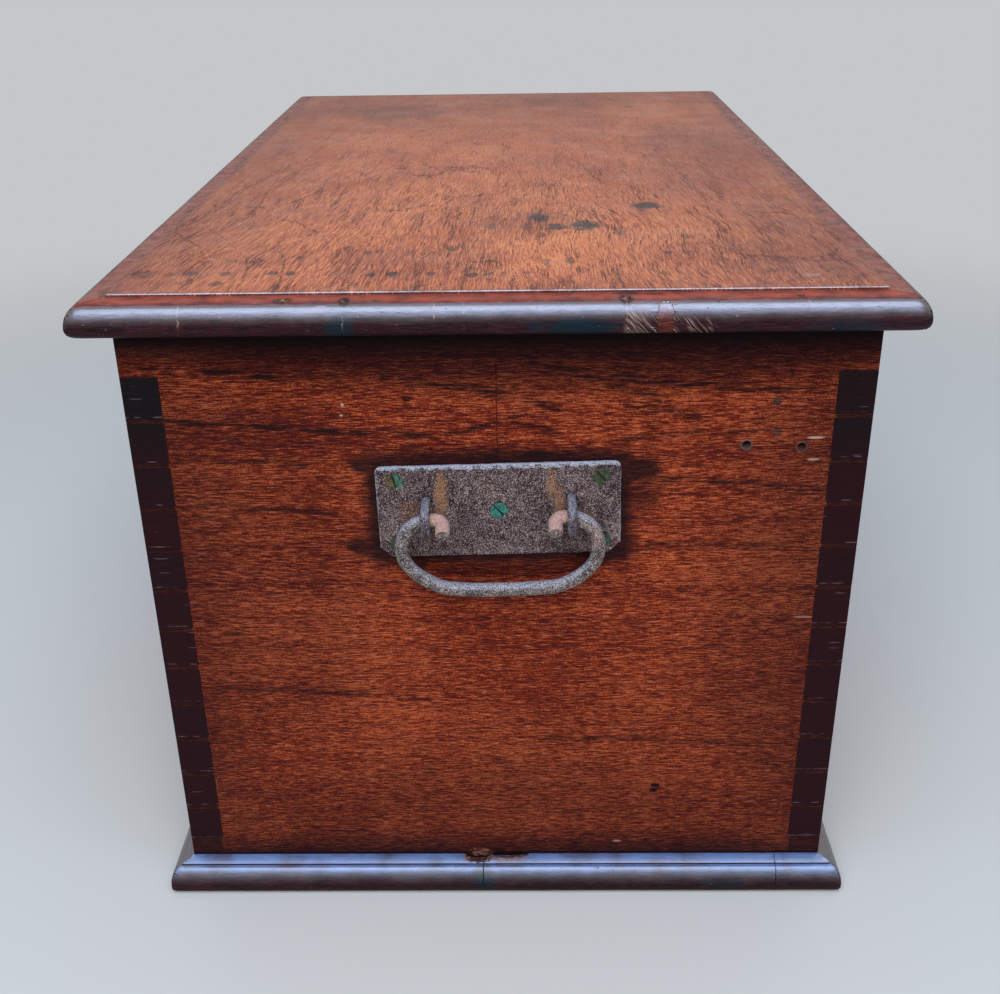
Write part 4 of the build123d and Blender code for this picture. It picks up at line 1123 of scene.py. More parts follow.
@dataclass(frozen=True)
class DarkIron:
    """Plain worked iron of lock parts, pins and nails."""

    name: str
    body: Colour = (0.16, 0.145, 0.14)
    rust: Colour = (0.16, 0.060, 0.025)
    rust_cover: float = 0.55

    def material(self) -> bpy.types.Material:
        """Writes the iron.

        Returns:
            The material.
        """
        s = Shader(self.name)
        cloud = s.noise(s.place, 160.0, 4.0, 0.6)
        grit = s.noise(s.place, 1300.0, 2.0)
        rust = (cloud + (grit - 0.5) * 0.3).rise(self.rust_cover, self.rust_cover + 0.1)
        colour = s.blend(((grit - 0.3) * 1.4).held(), tuple(0.5 * c for c in self.body), self.body)
        colour = s.blend(rust * 0.8, colour, self.rust)
        return s.close({"Base Color": colour, "Roughness": (rust * 0.35 + 0.38).held(),
                        "Metallic": 1.0 - rust * 0.8, "Normal": s.bump(cloud * 0.6 + grit * 0.4, 0.00015)})


# Bench work: how meshes are taken, eased, cut finer and worn


def taken(node: str) -> bmesh.types.BMesh:
    """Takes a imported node's form as whole flat faces.

    Args:
        node: The node's name.

    Returns:
        Its mesh with doubles merged and flat faces joined.
    """
    bm = bmesh.new()
    bm.from_mesh(frame["nodes"][node].data)
    bmesh.ops.remove_doubles(bm, verts=bm.verts, dist=1e-6)
    bmesh.ops.dissolve_limit(bm, angle_limit=math.radians(0.5), verts=bm.verts, edges=bm.edges)
    bm.normal_update()
    return bm


def ease(bm: bmesh.types.BMesh, width: float, least: float = 3.0, segments: int = 2,
         angle: float = 35.0) -> None:
    """Rounds the sharp edges a little.

    Args:
        bm: The mesh.
        width: How wide the rounding is, in millimetres.
        least: The shortest edge that is rounded, in millimetres.
        segments: Faces across the rounding.
        angle: The smallest corner that counts as sharp, in degrees.
    """
    sharp = [edge for edge in bm.edges if len(edge.link_faces) == 2
             and edge.calc_face_angle() > math.radians(angle) and edge.calc_length() > least * MM]
    bmesh.ops.bevel(bm, geom=sharp, offset=width * MM, offset_type="OFFSET", segments=segments,
                    profile=0.5, affect="EDGES", clamp_overlap=True, material=-1)
    bmesh.ops.remove_doubles(bm, verts=bm.verts, dist=2e-6)
    bm.normal_update()


def slice_across(bm: bmesh.types.BMesh, axis: int, places: Iterable[float],
                 part: Sequence = ()) -> list:
    """Cuts the mesh finer at planes across one axis.

    Args:
        bm: The mesh.
        axis: 0, 1 or 2 for x, y or z.
        places: The planes' places in millimetres.
        part: The elements that are cut, or none for the whole mesh.

    Returns:
        The elements that were cut and the new ones.
    """
    normal = Vector((axis == 0, axis == 1, axis == 2))
    cut = list(part) or bm.verts[:] + bm.edges[:] + bm.faces[:]
    for place in places:
        cut = bmesh.ops.bisect_plane(bm, geom=cut, dist=1e-6, plane_co=normal * place * MM,
                                     plane_no=normal)["geom"]
    return cut


def cut_finer(bm: bmesh.types.BMesh, low: Sequence[float], high: Sequence[float],
              pitch: Sequence[float]) -> None:
    """Cuts the mesh finer inside a box.

    Args:
        bm: The mesh.
        low: The box's lowest corner in millimetres.
        high: Its highest corner in millimetres.
        pitch: The distance between cuts along each axis in millimetres.
    """
    inside = []
    for face in bm.faces:
        corners = [vert.co / MM for vert in face.verts]
        if all(min(c[i] for c in corners) < high[i] and max(c[i] for c in corners) > low[i]
               for i in (0, 1, 2)):
            inside.append(face)
    part = inside + list({edge for face in inside for edge in face.edges}) + list(
        {vert for face in inside for vert in face.verts})
    for axis in (0, 1, 2):
        part = slice_across(bm, axis, steps(low[axis], high[axis], pitch[axis]), part)


def steps(start: float, stop: float, step: float) -> list[float]:
    """Evenly spaced numbers between two ends."""
    count = int((stop - start) / step)
    return [start + index * step for index in range(count + 1)]


def wear(bm: bmesh.types.BMesh, depth: Callable[[Vector], float]) -> None:
    """Sinks each vertex into the piece.

    Args:
        bm: The mesh.
        depth: Gives the depth in millimetres at a place.
    """
    bm.normal_update()
    moves = [(vert, vert.normal.copy(), depth(vert.co / MM)) for vert in bm.verts]
    for vert, outwards, sink in moves:
        vert.co -= outwards * max(sink, 0.0) * MM


def ripple(place: Vector, size: float) -> float:
    """Noise between 0 and 1 with bumps of about a size in millimetres."""
    return 0.5 + 0.5 * noise.noise(place / size)


def reskinned(bm: bmesh.types.BMesh, voxel: float) -> bmesh.types.BMesh:
    """Gives a form an even fine skin.

    Args:
        bm: The form, which is freed.
        voxel: The skin's cell in millimetres.

    Returns:
        The form with its new skin.
    """
    mesh = bpy.data.meshes.new("skin")
    bm.to_mesh(mesh)
    bm.free()
    holder = bpy.data.objects.new("skin", mesh)
    bpy.context.scene.collection.objects.link(holder)
    skin = holder.modifiers.new("skin", "REMESH")
    skin.mode = "VOXEL"
    skin.voxel_size = voxel * MM
    skin.use_smooth_shade = True
    evaluated = holder.evaluated_get(bpy.context.evaluated_depsgraph_get())
    fine = bpy.data.meshes.new_from_object(evaluated)
    made = bmesh.new()
    made.from_mesh(fine)
    bpy.data.objects.remove(holder)
    bpy.data.meshes.remove(mesh)
    bpy.data.meshes.remove(fine)
    return made


def placed(bm: bmesh.types.BMesh, name: str, nodes: Sequence[str],
           finish: bpy.types.Material, smooth_below: float = 28.0) -> bpy.types.Object:
    """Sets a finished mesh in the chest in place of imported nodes.

    Args:
        bm: The mesh, which is freed.
        name: The piece's name.
        nodes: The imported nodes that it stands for.
        finish: Its material.
        smooth_below: Corners under this many degrees are shaded smooth.

    Returns:
        The new object.
    """
    mesh = bpy.data.meshes.new(name)
    bm.to_mesh(mesh)
    bm.free()
    mesh.materials.append(finish)
    mesh.set_sharp_from_angle(angle=math.radians(smooth_below))
    mesh.polygons.foreach_set("use_smooth", [face.area < FLAT_ABOVE for face in mesh.polygons])
    piece = bpy.data.objects.new(name, mesh)
    bpy.context.scene.collection.objects.link(piece)
    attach(piece, frame["nodes"][nodes[0]]["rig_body"])
    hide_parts(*nodes)
    LOG.info("%s stands for %s", name, ", ".join(nodes))
    return piece


def finished(node: str, finish: bpy.types.Material) -> None:
    """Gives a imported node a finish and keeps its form.

    Args:
        node: The node's name.
        finish: Its material.
    """
    piece = frame["nodes"][node]
    if not piece.material_slots:
        piece.data.materials.append(finish)
    for held in piece.material_slots:
        held.material = finish
    LOG.info("%s keeps its form", node)


# Sub-assemblies

@dataclass
class Carcass:
    """The dovetailed box with its bottom."""

    arris: float = 0.3
    bottom_arris: float = 0.8

    def build(self) -> None:
        """Makes the four side boards, the plugs and the bottom."""
        self.board("end_board_near", EndTimber("near_end_wood"))
        self.board("end_board_far", Timber("far_end_wood", seed=3.1))
        self.board("front_board", SideTimber("front_wood", seed=1.3))
        self.board("back_board", SideTimber("back_wood", seed=5.7))
        plug = Timber("plug_wood_filled", shade=(0.02, 0.006, 0.005), body=(0.06, 0.022, 0.016),
                      light=(0.12, 0.05, 0.035), seed=2.0).material()
        finished("old_hole_plugs", plug)
        for number in (1, 2, 3):
            bm = taken(f"bottom_board_{number}")
            ease(bm, self.bottom_arris, least=20.0)
            placed(bm, f"bottom_{number}", [f"bottom_board_{number}"],
                   BareBoard(f"bottom_wood_{number}", seed=number * 2.3).material())
        finished("bottom_nails", DarkIron("nail_rust", rust_cover=0.42).material())

    def board(self, node: str, finish: Timber) -> None:
        """Makes one of the four boards with its pins or tails eased.

        Args:
            node: The board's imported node.
            finish: Its wood.
        """
        bm = taken(node)
        ease(bm, self.arris, least=2.0)
        placed(bm, node.replace("board", "panel"), [node], finish.material(),
               smooth_below=20.0)


@dataclass(frozen=True)
class Chip:
    """A place where a moulding has lost some wood."""

    centre: tuple[float, float, float]
    reach: tuple[float, float, float]
    depth: float

    def sink(self, place: Vector) -> float:
        """How deep the chip is at a place.

        Args:
            place: The place in millimetres.

        Returns:
            A depth in millimetres.
        """
        off = Vector((p - c) / r for p, c, r in zip(place, self.centre, self.reach))
        ragged = off.length + 0.5 * (ripple(place, 3.0) - 0.5) + 0.25 * (ripple(place, 1.2) - 0.5)
        return self.depth * max(0.0, min(1.0, (1.0 - ragged) * 2.2))


@dataclass(frozen=True)
class Rounding:
    """How use has rounded a moulding's nose, its underside and its outer corners, in millimetres.

    The nose's curve runs from start to reach outside the chest's sides and drops from the top. The
    curve below rises from the bottom by under. The larger the corner's power, the sharper the corner.
    """

    start: float
    reach: float
    top: float
    drop: float
    bottom: float
    under: float
    corner: float = 4.0

    def fitted(self, place: Vector, inner_x: float, inner_y: float) -> Vector:
        """Where a point of the new moulding is on the worn one.

        Args:
            place: The point in millimetres.
            inner_x: Half the width inside the moulding.
            inner_y: Half the length inside the moulding.

        Returns:
            The worn point.
        """
        out_x, out_y = abs(place.x) - inner_x, abs(place.y) - inner_y
        out = max(out_x, out_y)
        if out <= 0.0:
            return place
        worn, height = out, place.z
        for centre, radius, up in ((self.top - self.drop, self.drop, 1.0),
                                   (self.bottom + self.under, self.under, -1.0)):
            width = self.reach - self.start if up > 0 else self.under
            across = (worn - (self.reach - width)) / width
            along = up * (height - centre) / radius
            if across > 0.0 and along > 0.0 and math.hypot(across, along) > 1.0:
                scale = 1.0 / math.hypot(across, along)
                worn = self.reach - width + across * scale * width
                height = centre + up * along * scale * radius
        scale = worn / out
        if out_x > 0.0 and out_y > 0.0:
            scale *= out / (out_x ** self.corner + out_y ** self.corner) ** (1.0 / self.corner)
        if out_x > 0.0:
            out_x *= scale
        if out_y > 0.0:
            out_y *= scale
        return Vector((math.copysign(inner_x + out_x, place.x),
                       math.copysign(inner_y + out_y, place.y), height))


@dataclass
class Moulding:
    """Four mitred lengths round the chest, worn by hands."""

    stem: str
    piece_stem: str
    half_width: float
    half_length: float
    inner: float
    lit_top_warmth: float
    rounding: Rounding
    arris: float = 0.45
    grid: float = 4.0
    end_reach: float = 22.0
    end_cuts: tuple[float, float, float] = (0.7, 21.0, 1.7)
    nose_grid: float = 1.2
    height_grid: float = 1.3
    chip_grid: tuple[float, float, float] = (0.55, 0.7, 0.7)
    broad_wear: tuple[float, float] = (0.16, 34.0)
    fine_wear: tuple[float, float] = (0.10, 9.0)
    chips: tuple[Chip, ...] = ()
    nicks: tuple[float, ...] = ()
    scars: tuple[float, float] = (0.0, 0.0)
    raw: tuple[Spot, ...] = ()
    smudges: tuple[Spot, ...] = ()
    splits: tuple[float, ...] = ()
    pits: tuple[Spot, ...] = ()
    # How strongly the near length is painted with a bluish sky reflection.
    patina_and_sky_sheen: float = 0.0
    wax_rough: float = 0.27

    def marks(self, side: str) -> dict[str, object]:
        """The marks of one length, most of which only the near one has.

        Args:
            side: Which of the four lengths it is.

        Returns:
            Fields of the length's wood.
        """
        if side != "near":
            return {"nicks": (-120.0, 64.0, 210.0), "lit_top_colour": (0.30, 0.090, 0.055)}
        return {"nicks": self.nicks, "scars": self.scars, "raw": self.raw, "patina_and_sky_sheen": self.patina_and_sky_sheen,
                "smudges": self.smudges, "splits": self.splits, "pits": self.pits}

    def build(self) -> None:
        """Makes the lengths one by one."""
        for index, side in enumerate(("near", "front", "far", "back")):
            across = side in ("near", "far")
            bm = taken(f"{self.stem}_{side}")
            ease(bm, self.arris, least=6.0)
            axis, reach = (0, self.half_width) if across else (1, self.half_length)
            slice_across(bm, axis, steps(self.end_reach - reach, reach - self.end_reach, self.grid))
            self.shape(bm, axis, reach)
            chips = self.chips if side == "near" else ()
            for chip in chips:
                low = [c - 1.3 * r for c, r in zip(chip.centre, chip.reach)]
                high = [c + 1.3 * r for c, r in zip(chip.centre, chip.reach)]
                cut_finer(bm, low, high, self.chip_grid)
            wear(bm, lambda place: self.loss(place, chips))
            finish = MouldedTimber(
                f"{self.piece_stem}_{side}_wood", grain=Grain.ACROSS_CHEST if across else Grain.ALONG_CHEST,
                shade=(0.004, 0.002, 0.004), body=(0.014, 0.005, 0.008), light=(0.050, 0.012, 0.014),
                ring_scale=120.0, gloss=0.40, seed=index * 1.9 + 0.4, inner_half_width=self.inner,
                inner_half_length=self.inner + LONGER, lit_top_warmth=self.lit_top_warmth,
                wax_rough=self.wax_rough, **self.marks(side))
            placed(bm, f"{self.piece_stem}_{side}", [f"{self.stem}_{side}"],
                   finish.material(), smooth_below=24.0)

    def shape(self, bm: bmesh.types.BMesh, axis: int, reach: float) -> None:
        """Rounds the nose, the underside and the corners as use has.

        Args:
            bm: The mesh.
            axis: 0 for a length across the chest, 1 for one along it.
            reach: How far the length reaches from the middle, in millimetres.
        """
        edge = self.rounding
        inside = self.inner if axis else self.inner + LONGER
        for sign in (-1.0, 1.0):
            slice_across(bm, axis, [sign * (reach - corner) for corner in steps(*self.end_cuts)])
            slice_across(bm, 1 - axis, [sign * (inside + out)
                                        for out in steps(edge.start, edge.reach, self.nose_grid)])
        slice_across(bm, 2, steps(edge.bottom + 1.0, edge.top - 0.8, self.height_grid))
        for vert in bm.verts:
            vert.co = edge.fitted(vert.co / MM, self.inner, self.inner + LONGER) * MM

    def loss(self, place: Vector, chips: tuple[Chip, ...]) -> float:
        """How much wear has taken at a place.

        Args:
            place: The place in millimetres.
            chips: The length's chips.

        Returns:
            A depth in millimetres.
        """
        away = max(abs(place.x) - self.inner, abs(place.y) - self.inner - LONGER)
        shown = max(0.0, min(1.0, (away - 0.5) / 2.0))
        worn = sum(depth * ripple(place, size) for depth, size in (self.broad_wear, self.fine_wear))
        taken_off = max((chip.sink(place) for chip in chips), default=0.0)
        return worn * shown + taken_off


@dataclass
class Lid:
    """The lid board and the plug let into its lip."""

    rounding: Rounding
    arris: float = 1.2
    half_width: float = 215.5
    half_length: float = 381.5
    flat_half_width: float = 213.8
    flat_half_length: float = 379.8
    plug_arris: float = 0.25
    plug_heights: tuple[float, float] = (401.6, 418.6)
    plug_depths: tuple[float, float] = (-402.2, -396.0)
    plug_grid: float = 0.9

    def build(self) -> None:
        """Makes the board and the plug."""
        bm = taken("lid_board")
        ease(bm, self.arris, least=20.0, segments=1)
        slice_across(bm, 0, (-self.flat_half_width, self.flat_half_width))
        slice_across(bm, 1, (-self.flat_half_length, self.flat_half_length))
        finish = LidTimber("lid_top_wood", shade=(0.20, 0.038, 0.014), body=(0.38, 0.088, 0.030),
                           light=(0.66, 0.205, 0.062), pore=(0.075, 0.016, 0.010),
                           end_shade=(0.022, 0.012, 0.012), gloss=0.42, wax=0.03, specular=0.26)
        placed(bm, "lid_panel", ["lid_board"], finish.material(), smooth_below=33.0)
        plug = taken("lid_repair_plug")
        ease(plug, self.plug_arris, least=1.5)
        slice_across(plug, 2, steps(*self.plug_heights, self.plug_grid))
        slice_across(plug, 1, steps(*self.plug_depths, self.plug_grid))
        for vert in plug.verts:
            vert.co = self.rounding.fitted(vert.co / MM, self.half_width, self.half_length) * MM
        wood = MouldedTimber("plug_wood_new", shade=(0.035, 0.008, 0.006), body=(0.085, 0.018, 0.011),
                             light=(0.19, 0.050, 0.028), end_shade=(0.05, 0.012, 0.009), gloss=0.34, seed=4.0)
        placed(plug, "lip_plug", ["lid_repair_plug"], wood.material(), smooth_below=24.0)
        finished("lid_lip_sprigs", DarkIron("sprig_iron").material())
        finished("plinth_sprigs", DarkIron("plinth_sprig_iron").material())


class End(Enum):
    """Which end of the chest a handle is on."""

    NEAR = "near"
    FAR = "far"


@dataclass
class Handle:
    """A forged plate with two staple eyes, a bail and five screws."""

    end: End
    tilt: float = 0.0
    centre_height: float = 286.0
    plate_height: float = 287.5
    plate_half_width: float = 72.5
    plate_half_height: float = 30.0
    plate_skin: float = 0.62
    bar_skin: float = 0.5
    hollow_size: float = 11.0
    dent_size: float = 3.2
    pit_size: float = 1.35
    screw_arris: float = 0.22
    screw_reach: float = 8.0
    bow_start: float = 20.0
    bow_height: float = 22.0
    bow_half_width: float = 42.0
    bow_lifts: tuple[float, float, float] = (0.6, 3.4, 2.3)
    heads: tuple[ScrewHead, ...] = ()
    rust_runs: tuple[Spot, ...] = ()
    warm_spots: tuple[Spot, ...] = ()

    def build(self) -> None:
        """Makes the handle's pieces."""
        side = self.end.value
        plate_iron = ForgedIron(f"plate_iron_{side}", rust_runs=self.rust_runs, border=(
            self.plate_height, self.plate_half_width, self.plate_half_height, self.tilt))
        bar_iron = ForgedIron(f"bail_iron_{side}", warm_spots=self.warm_spots, dark=(0.020, 0.014, 0.012),
                              body=(0.165, 0.130, 0.118), light=(0.70, 0.61, 0.57), rubbed_highlight=0.58)
        eye_iron = ForgedIron(f"eye_iron_{side}", dark=(0.018, 0.012, 0.013),
                              body=(0.095, 0.070, 0.074), light=(0.42, 0.38, 0.42), rubbed_highlight=0.34)
        self.forged(f"handle_plate_{side}", f"plate_{side}", self.plate_skin, plate_iron, 0.16, 0.42)
        self.forged(f"staple_eyes_{side}", f"staples_{side}", self.bar_skin, eye_iron, 0.12, 0.22)
        self.forged(f"bail_{side}", f"grip_{side}", self.bar_skin, bar_iron, 0.2, 0.34, self.bow)
        self.screws(side)

    def bow(self, place: Vector) -> Vector:
        """Bends the bail's foot to a gentle bow.

        Args:
            place: A point of the bail in millimetres.

        Returns:
            Where the point is once the foot is bent.
        """
        low = max(0.0, min(1.0, (self.centre_height - self.bow_start - place.z) / self.bow_height))
        middle, left, right = self.bow_lifts
        most = left if place.x < 0.0 else right
        lift = middle + most * min(1.0, (place.x / self.bow_half_width) ** 2)
        lift *= low * low * (3.0 - 2.0 * low)
        return Vector((place.x, place.y, place.z + lift))

    def forged(self, node: str, name: str, skin: float, finish: ForgedIron, swell: float,
               pit: float, bend: Callable[[Vector], Vector] | None = None) -> None:
        """Makes one piece of hammered and pitted iron.

        Args:
            node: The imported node.
            name: The piece's name.
            skin: The cell of its skin in millimetres.
            finish: Its material.
            swell: How far the hammered hollows go in.
            pit: How deep the pits are.
            bend: Moves a point in millimetres before the hammering.
        """
        bm = reskinned(taken(node), skin)
        if bend is not None:
            for vert in bm.verts:
                vert.co = bend(vert.co / MM) * MM
        wear(bm, lambda place: swell * ripple(place, self.hollow_size)
             + 0.5 * pit * ripple(place, self.dent_size)
             + 2.0 * pit * max(0.0, ripple(place, self.pit_size) - 0.56))
        placed(bm, name, [node], finish.material(), smooth_below=180.0)

    def screws(self, side: str) -> None:
        """Turns each screw's slot its own way and greens its head.

        Args:
            side: The name of the handle's end of the chest.
        """
        node = f"handle_screws_{side}"
        bm = taken(node)
        ease(bm, self.screw_arris, least=1.2)
        for head in self.heads:
            middle = Vector((head.across, 0.0, head.up)) * MM
            own = [vert for vert in bm.verts
                   if (Vector((vert.co.x, 0.0, vert.co.z)) - middle).length < self.screw_reach * MM]
            turn = Matrix.Rotation(math.radians(head.turn), 3, "Y")
            bmesh.ops.rotate(bm, verts=own, cent=middle, matrix=turn)
        placed(bm, f"handle_screw_heads_{side}", [node],
               GreenedBrass(f"greened_brass_{side}", self.heads).material(), smooth_below=30.0)


@dataclass
class Fittings:
    """The hinges, the lock, its key and the escutcheon."""

    arris: float = 0.25

    def build(self) -> None:
        """Makes the brass and iron fittings."""
        hinge = Brass("hinge_plate_brass").material()
        screw = Brass("small_screw_brass", body=(0.40, 0.25, 0.10), green_cover=0.6).material()
        iron = DarkIron("lock_steel").material()
        for number in (1, 2):
            for leaf in ("body_leaf", "lid_leaf"):
                self.eased(f"hinge_{number}_{leaf}", hinge)
            self.eased(f"hinge_{number}_pin", iron)
        for node in ("hinge_body_screws", "hinge_lid_screws", "lock_screws", "link_screws",
                     "escutcheon_pins"):
            self.eased(node, screw)
        for node in ("lock_case", "lock_cap", "link_plate", "escutcheon"):
            self.eased(node, Brass(f"{node}_brass").material())
        for node in ("lock_bolt", "lock_spring", "key"):
            self.eased(node, iron)

    def eased(self, node: str, finish: bpy.types.Material) -> None:
        """Makes one fitting with its edges eased.

        Args:
            node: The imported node.
            finish: Its material.
        """
        bm = taken(node)
        ease(bm, self.arris, least=1.0)
        placed(bm, f"{node}_worked", [node], finish, smooth_below=30.0)


@dataclass(frozen=True)
class Lamp:
    """One soft panel lamp, and whether polished surfaces show it."""

    name: str
    place: tuple[float, float, float]
    target: tuple[float, float, float]
    size: tuple[float, float]
    watts: float
    colour: Colour
    mirrored: bool = True

    def hang(self) -> None:
        """Hangs the lamp and turns it to its target."""
        light = bpy.data.lights.new(self.name, "AREA")
        light.shape = "RECTANGLE"
        light.size, light.size_y = self.size
        light.energy = self.watts
        light.color = self.colour
        lamp = bpy.data.objects.new(self.name, light)
        lamp.location = self.place
        lamp.visible_glossy = self.mirrored
        lamp.rotation_euler = (Vector(self.target) - Vector(self.place)).to_track_quat("-Z", "Y").to_euler()
        bpy.context.scene.collection.objects.link(lamp)


@dataclass
class Studio:
    """The pale floor, the lamps and the camera."""

    floor_reach: float = 14.0
    fade: tuple[float, float] = (0.55, 1.7)
    floor_colour: Colour = (0.62, 0.62, 0.55)
    far_colour: Colour = (0.56, 0.57, 0.585)
    room_colour: Colour = (0.95, 0.97, 1.0)
    wall_colour: Colour = (0.90, 0.91, 0.93)
    room_light: float = 0.26
    wall_light: float = 0.66
    camera_place: tuple[float, float, float] = (0.01303, -1.03777, 0.61334)
    focal_pixels: float = 1231.36
    image_width: float = 1000.0
    sensor: float = 36.0
    pitch: float = 0.45118
    yaw: float = -0.01886
    roll: float = -0.01564
    lamps: ClassVar[tuple[Lamp, ...]] = (
        Lamp("sky_softbox", (0.0, -1.22, 2.46), (0.0, -0.4, 0.42), (2.6, 1.2), 34.0, (0.56, 0.69, 1.0)),
        Lamp("low_softbox", (0.0, -2.03, 1.89), (0.0, -0.4, 0.42), (2.6, 0.9), 12.0, (0.50, 0.62, 1.0)),
        Lamp("high_softbox", (0.0, -0.1, 2.4), (0.0, -0.2, 0.0), (2.6, 1.6), 17.0, (0.62, 0.73, 1.0), False),
        Lamp("front_softbox", (-0.1, -2.4, 1.7), (0.0, -0.45, 0.3), (2.4, 1.5), 38.0, (1.0, 0.93, 0.85),
             False),
        Lamp("rear_softbox", (0.0, 1.0, 2.5), (0.0, -0.4, 0.42), (2.6, 1.1), 9.0, (0.52, 0.66, 1.0)),
    )

    def build(self) -> None:
        """Sets up everything that isn't the chest."""
        self.floor()
        self.world()
        for lamp in self.lamps:
            lamp.hang()
        self.camera()

    def floor(self) -> None:
        """Lays the floor."""
        bm = bmesh.new()
        bmesh.ops.create_grid(bm, x_segments=4, y_segments=4, size=self.floor_reach)
        mesh = bpy.data.meshes.new("floor")
        bm.to_mesh(mesh)
        bm.free()
        mesh.materials.append(self.paint())
        piece = bpy.data.objects.new("floor", mesh)
        bpy.context.scene.collection.objects.link(piece)

    def paint(self) -> bpy.types.Material:
        """Pale floor paint that keeps the chest's shadow and runs out into the pale room.

        Returns:
            The floor's material.
        """
        s = Shader("floor_paint")
        away = (s.x * s.x + s.y * s.y) ** 0.5
        matt = s.node("ShaderNodeBsdfDiffuse", inputs={"Color": (*self.floor_colour, 1.0)}).outputs[0]
        shown = s.node("ShaderNodeEmission", inputs={"Color": (*self.far_colour, 1.0),
                                                     "Strength": 1.0}).outputs[0]
        mixed = s.node("ShaderNodeMixShader", inputs={0: s.seen() * away.rise(*self.fade), 1: matt, 2: shown})
        s.node("ShaderNodeOutputMaterial", inputs={0: mixed.outputs[0]})
        return s.material

    def world(self) -> None:
        """Fills the room with soft light and shows a pale wall."""
        s = RoomShader("room")
        bpy.context.scene.world = s.world
        lit = s.node("ShaderNodeBackground", inputs={"Color": (*self.room_colour, 1.0),
                                                     "Strength": self.room_light}).outputs[0]
        shown = s.node("ShaderNodeBackground", inputs={"Color": (*self.wall_colour, 1.0),
                                                       "Strength": self.wall_light}).outputs[0]
        mixed = s.node("ShaderNodeMixShader", inputs={0: s.seen(), 1: lit, 2: shown})
        s.node("ShaderNodeOutputWorld", inputs={0: mixed.outputs[0]})

    def camera(self) -> None:
        """Stands the camera where the chest is seen from its near end."""
        ahead = Vector((math.sin(self.yaw) * math.cos(self.pitch),
                        math.cos(self.yaw) * math.cos(self.pitch), -math.sin(self.pitch)))
        level = Vector((math.cos(self.yaw), -math.sin(self.yaw), 0.0))
        up = level.cross(ahead)
        right = math.cos(self.roll) * level + math.sin(self.roll) * up
        top = -math.sin(self.roll) * level + math.cos(self.roll) * up
        lens = bpy.data.cameras.new("camera")
        lens.sensor_width = self.sensor
        lens.lens = self.focal_pixels * self.sensor / self.image_width
        view = bpy.data.objects.new("camera", lens)
        turn = Matrix((right, top, -ahead)).transposed().to_4x4()
        view.matrix_world = Matrix.Translation(Vector(self.camera_place)) @ turn
        bpy.context.scene.collection.objects.link(view)
        bpy.context.scene.camera = view


# The near end, as it is worn

PLINTH_EDGE = Rounding(8.0, 15.0, 18.8, 14.0, 0.0, 4.5, 12.0)
LIP_EDGE = Rounding(10.0, 20.5, 419.6, 13.0, 401.0, 5.5, 8.5)
PLATE_TILT = 1.2
GREEN: Colour = (0.060, 0.21, 0.115)
OLIVE: Colour = (0.050, 0.060, 0.022)
GOLD: Colour = (0.135, 0.085, 0.030)


def plinth() -> Moulding:
    """The plinth, broken in the middle of its near length and split in two places.

    Returns:
        The moulding.
    """
    return Moulding(
        "plinth", "plinth_moulding", 230.0, 396.0, 215.0, 0.0, PLINTH_EDGE,
        chips=(Chip((-17.0, -381.5, 22.0), (10.0, 6.5, 4.5), 3.4),
               Chip((2.0, -381.2, 22.0), (14.0, 3.2, 2.4), 1.6)),
        raw=(Spot(-17.5, 22, 11.0, 5.5, 1.0), Spot(2.0, 22, 15.0, 2.0, 0.9)),
        smudges=(Spot(-14, 12, 7, 9, 0.8), Spot(150, 8, 16, 5, 0.5)),
        # The near length is painted with a bluish sky reflection on what faces up.
        splits=(184.5, -14.5), patina_and_sky_sheen=0.85, wax_rough=0.40)


def lip() -> Moulding:
    """The lid's lip, nicked, pitted and scarred along its near length.

    Returns:
        The moulding.
    """
    return Moulding(
        # 0.95 is how strongly the lip's flat top is painted lighter and warmer as lit from above.
        "lid_lip", "lip", 236.0, 402.0, 215.5, 0.95, LIP_EDGE,
        chips=(Chip((-82.0, -392.0, 419.2), (2.4, 3.6, 2.8), 1.8),
               Chip((-116.0, -391.0, 419.4), (4.0, 3.0, 1.8), 1.0),
               Chip((70.5, -392.0, 419.2), (2.6, 4.0, 3.0), 1.9),
               Chip((71.0, -402.0, 409.0), (2.0, 2.0, 6.0), 0.7)),
        nicks=(-171.5, -82.5, -32.8, -17.0, 70.8), scars=(70.0, 128.0),
        smudges=(Spot(-84, 406, 9, 7, 0.8), Spot(48, 406, 24, 6, 0.9), Spot(190, 405, 20, 6, 0.6)),
        pits=(Spot(-82.0, -392.0, 3.6, 5.2, 0.98), Spot(-116.0, -391.0, 5.4, 4.4, 0.98),
              Spot(70.5, -392.0, 4.0, 5.8, 0.98), Spot(72, -384.5, 9, 2.6, 0.6),
              Spot(86, -385.5, 7, 2.2, 0.5), Spot(165.0, -391.5, 2.2, 1.8, 0.8)))


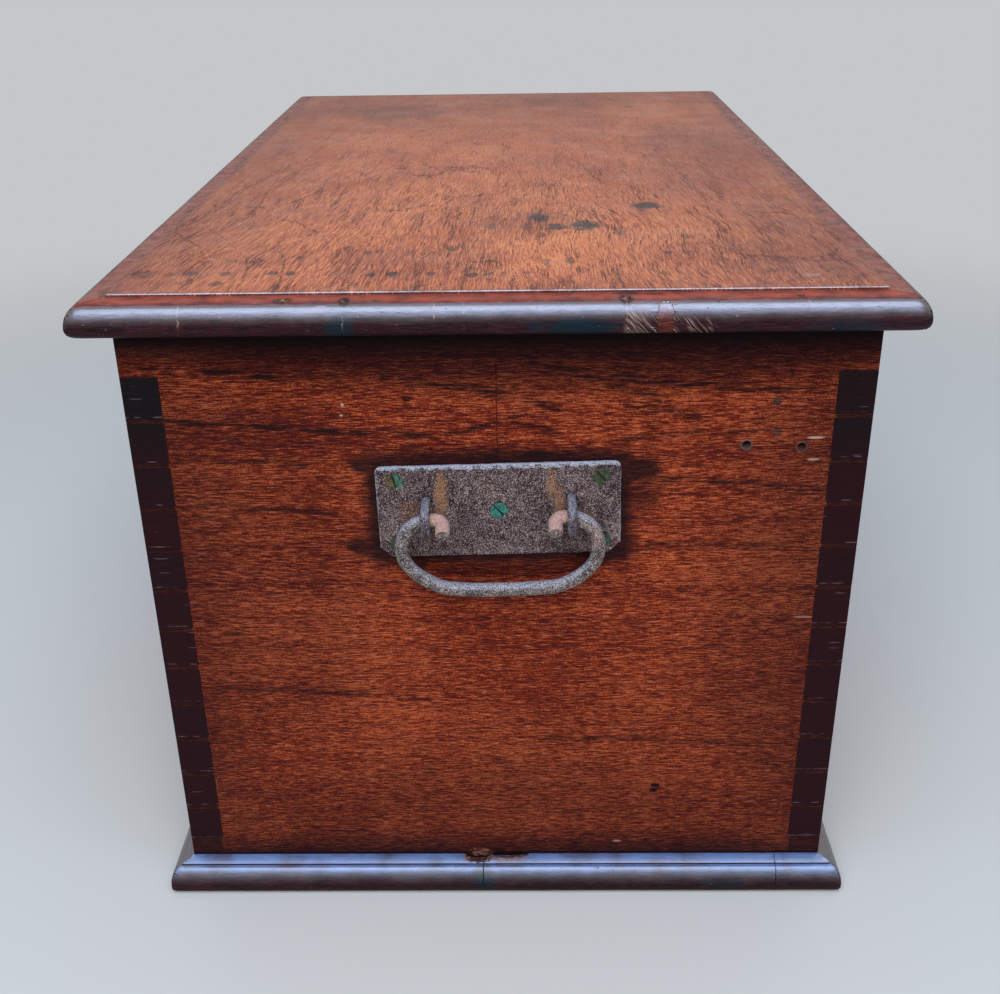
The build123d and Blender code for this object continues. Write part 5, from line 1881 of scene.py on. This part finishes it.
def near_handle() -> Handle:
    """The near handle, whose plate hangs a little askew.

    Returns:
        The handle.
    """
    tilt = math.radians(PLATE_TILT)
    upper, lower = ((-61 * math.cos(tilt) - z * math.sin(tilt), 286 - 61 * math.sin(tilt) + z)
                    for z in (22.0, -19.0))
    return Handle(
        End.NEAR, tilt=PLATE_TILT,
        heads=(ScrewHead(*upper, -15.0, GOLD, GREEN), ScrewHead(*lower, 30.0, OLIVE, (0.02, 0.06, 0.035)),
               ScrewHead(60.5, 309.3, -40.0, OLIVE, (0.065, 0.075, 0.028)),
               ScrewHead(61.4, 268.3, 20.0, OLIVE, (0.03, 0.07, 0.04)),
               ScrewHead(0.0, 287.5, -42.0, (0.025, 0.20, 0.15), (0.03, 0.24, 0.18))),
        rust_runs=(Spot(-34.3, 298, 4.2, 15, 0.9), Spot(-52, 287, 8, 8, 0.35), Spot(31.0, 304, 3.6, 9, 0.7),
                   Spot(36.0, 293, 3.8, 9, 0.75), Spot(51, 282, 7, 6, 0.35)),
        warm_spots=(Spot(-36, 285, 9, 12, 0.9), Spot(36, 285, 9, 12, 0.9), Spot(55, 276, 8, 8, 0.2)))


def far_handle() -> Handle:
    """The far handle, which hangs level.

    Returns:
        The handle.
    """
    return Handle(
        End.FAR,
        heads=tuple(ScrewHead(x, z, turn, OLIVE, GREEN) for x, z, turn in (
            (-61.0, 308.0, 12.0), (61.0, 308.0, 66.0), (-61.0, 267.0, 35.0), (61.0, 267.0, 80.0),
            (0.0, 287.5, 20.0))),
        rust_runs=(Spot(33.5, 296, 4, 13, 0.7), Spot(-33.5, 298, 4, 10, 0.6)),
        warm_spots=(Spot(-36, 285, 9, 12, 0.6), Spot(36, 285, 9, 12, 0.6)))


def main() -> None:
    """Builds the chest piece by piece, then its studio."""
    logging.basicConfig(level=logging.INFO, format="%(name)s: %(message)s")
    Carcass().build()
    plinth().build()
    Lid(LIP_EDGE).build()
    lip().build()
    near_handle().build()
    far_handle().build()
    Fittings().build()
    Studio().build()
    bpy.context.scene.view_settings.view_transform = "Standard"
    bpy.context.view_layer.update()


if __name__ == "__main__":
    main()
